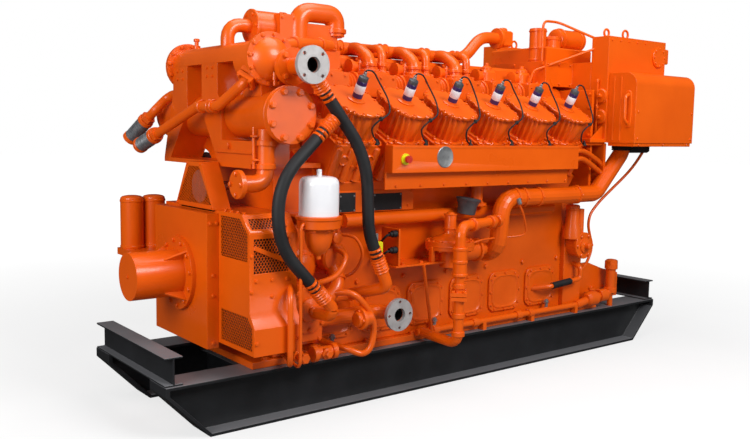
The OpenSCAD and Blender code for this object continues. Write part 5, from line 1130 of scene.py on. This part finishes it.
class ENGINE_OT_stage(bpy.types.Operator):
    """Camera at the photographed angle, soft lamps and a pale floor"""
    bl_idname = "engine.stage"
    bl_label = "Stage"

    def execute(self, context):
        scene = context.scene
        yaw, pitch, roll = (math.radians(v) for v in (37.88, -6.1, 0.99))
        ahead = np.array([math.sin(yaw) * math.cos(pitch), math.cos(yaw) * math.cos(pitch), math.sin(pitch)])
        level = np.array([math.cos(yaw), -math.sin(yaw), 0])
        over = np.cross(level, ahead)
        right = math.cos(roll) * level + math.sin(roll) * over
        camera = bpy.data.cameras.new("camera")
        camera.sensor_width, camera.clip_end = SENSOR_WIDTH, 200
        camera.lens = SENSOR_WIDTH * FOCAL_PIXELS / PHOTO_PIXELS
        eye = bpy.data.objects.new("camera", camera)
        self.stand(scene, eye, right, np.cross(-ahead, right), -ahead, EYE)
        scene.camera = eye
        lamps = (("softbox_high", (0.3, -5.6, 4.7), (-0.3, -0.3, 1.0), (3.0, 2.2), 305),
                 ("softbox_left", (-5.4, -1.6, 2.6), (-1.4, 0.0, 1.1), (2.2, 2.2), 130),
                 ("softbox_top", (-0.4, -0.6, 5.4), (0.0, 0.0, 1.0), (3.6, 3.0), 115),
                 ("card_right", (1.29, -5.0, 1.74), (-0.2, -0.4, 1.7), (0.9, 0.9), 9))
        for name, spot, aim, (wide, tall), power in lamps:
            lamp = bpy.data.lights.new(name, "AREA")
            lamp.shape, lamp.size, lamp.size_y, lamp.energy = "RECTANGLE", wide, tall, power
            back, u, v = side_vectors(np.array(spot) - np.array(aim))
            self.stand(scene, bpy.data.objects.new(name, lamp), u[0], v[0], back[0], spot)
        world = bpy.data.worlds.new("studio")
        world.use_nodes = True
        scene.world = world
        tree = world.node_tree
        sky = tree.nodes["Background"]
        sky.inputs["Color"].default_value = (1, 1, 1, 1)
        path = add(tree, "ShaderNodeLightPath")
        seen = add(tree, "ShaderNodeMath", {"operation": "MAXIMUM"})
        tree.links.new(path.outputs["Is Camera Ray"], seen.inputs[0])
        tree.links.new(path.outputs["Is Transmission Ray"], seen.inputs[1])
        dim = add(tree, "ShaderNodeMapRange", {"To Min": 0.3, "To Max": 0.05},
                  Value=path.outputs["Is Glossy Ray"])
        strength = add(tree, "ShaderNodeMapRange", {"To Max": 1.0}, Value=seen.outputs["Value"])
        tree.links.new(dim.outputs["Result"], strength.inputs["To Min"])
        tree.links.new(strength.outputs["Result"], sky.inputs["Strength"])
        mesh = bpy.data.meshes.new("floor")
        reach = np.array([[-40, -40, 0], [40, -40, 0], [40, 40, 0], [-40, 40, 0]], float)
        mesh.from_pydata(reach - [0, 0, 0.0005], [], [(0, 1, 2, 3)])
        # matt floor paint: it glows toward the eye to meet the white backdrop, and keeps a soft shadow
        floor_paint = finish("floor_paint", "#888888", "#8c8c8c", 1.5, 0.02, 0.0001, (0.8, 0.9),
                             Specular_IOR_Level=0.1)
        tree = floor_paint.node_tree
        path = add(tree, "ShaderNodeLightPath")
        shader = tree.nodes["Principled BSDF"]
        shader.inputs["Emission Color"].default_value = (1, 1, 1, 1)
        place = add(tree, "ShaderNodeTexCoord").outputs["Object"]
        away = add(tree, "ShaderNodeVectorMath", {"operation": "LENGTH"})
        tree.links.new(place, away.inputs[0])
        fade = add(tree, "ShaderNodeMapRange", {"From Min": 2.5, "From Max": 8.0, "To Min": 0.7,
                                                "To Max": 1.0}, Value=away.outputs["Value"])
        glow = add(tree, "ShaderNodeMapRange", Value=path.outputs["Is Camera Ray"])
        tree.links.new(fade.outputs["Result"], glow.inputs["To Max"])
        tree.links.new(glow.outputs["Result"], shader.inputs["Emission Strength"])
        mirror = add(tree, "ShaderNodeMapRange", {"To Min": 1.0, "To Max": 0.2},
                     Value=path.outputs["Is Glossy Ray"])
        colour = add(tree, "ShaderNodeHueSaturation", Value=mirror.outputs["Result"])
        tree.links.new(shader.inputs["Base Color"].links[0].from_socket, colour.inputs["Color"])
        tree.links.new(colour.outputs["Color"], shader.inputs["Base Color"])
        mesh.materials.append(floor_paint)
        floor = bpy.data.objects.new("floor", mesh)
        scene.collection.objects.link(floor)
        scene.view_settings.view_transform = "Standard"
        return {"FINISHED"}

    def stand(self, scene, thing, right, up, back, spot):
        """Links an object and stands it on a spot, with its own three axes along right, up and back."""
        thing.matrix_world = Matrix([[right[i], up[i], back[i], spot[i]] for i in range(3)] + [[0, 0, 0, 1]])
        scene.collection.objects.link(thing)


class ENGINE_PT_parts(bpy.types.Panel):
    """Lists the pieces in the order in which they are made"""
    bl_label = "Engine"
    bl_idname = "ENGINE_PT_parts"
    bl_space_type = "VIEW_3D"
    bl_region_type = "UI"
    bl_category = "Engine"

    def draw(self, context):
        for step in STEPS:
            self.layout.operator(step.bl_idname)


STEPS = (ENGINE_OT_stage, ENGINE_OT_finishes, ENGINE_OT_castings, ENGINE_OT_covers, ENGINE_OT_ignition,
         ENGINE_OT_guards, ENGINE_OT_hoses, ENGINE_OT_manifolds, ENGINE_OT_rails, ENGINE_OT_coolers,
         ENGINE_OT_pump, ENGINE_OT_gas_train, ENGINE_OT_rear)
CLASSES = (EngineColours, EngineSizes, *STEPS, ENGINE_PT_parts)


def register():
    """Adds the classes and the scene's two groups of settings."""
    for cls in CLASSES:
        bpy.utils.register_class(cls)
    bpy.types.Scene.engine_colours = bpy.props.PointerProperty(type=EngineColours)
    bpy.types.Scene.engine_sizes = bpy.props.PointerProperty(type=EngineSizes)


def unregister():
    """Takes the settings and the classes away again."""
    del bpy.types.Scene.engine_sizes
    del bpy.types.Scene.engine_colours
    for cls in reversed(CLASSES):
        bpy.utils.unregister_class(cls)


def main():
    """Makes every piece in order."""
    register()
    for step in STEPS:
        group, name = step.bl_idname.split(".")
        getattr(getattr(bpy.ops, group), name)()


if __name__ == "__main__":
    main()
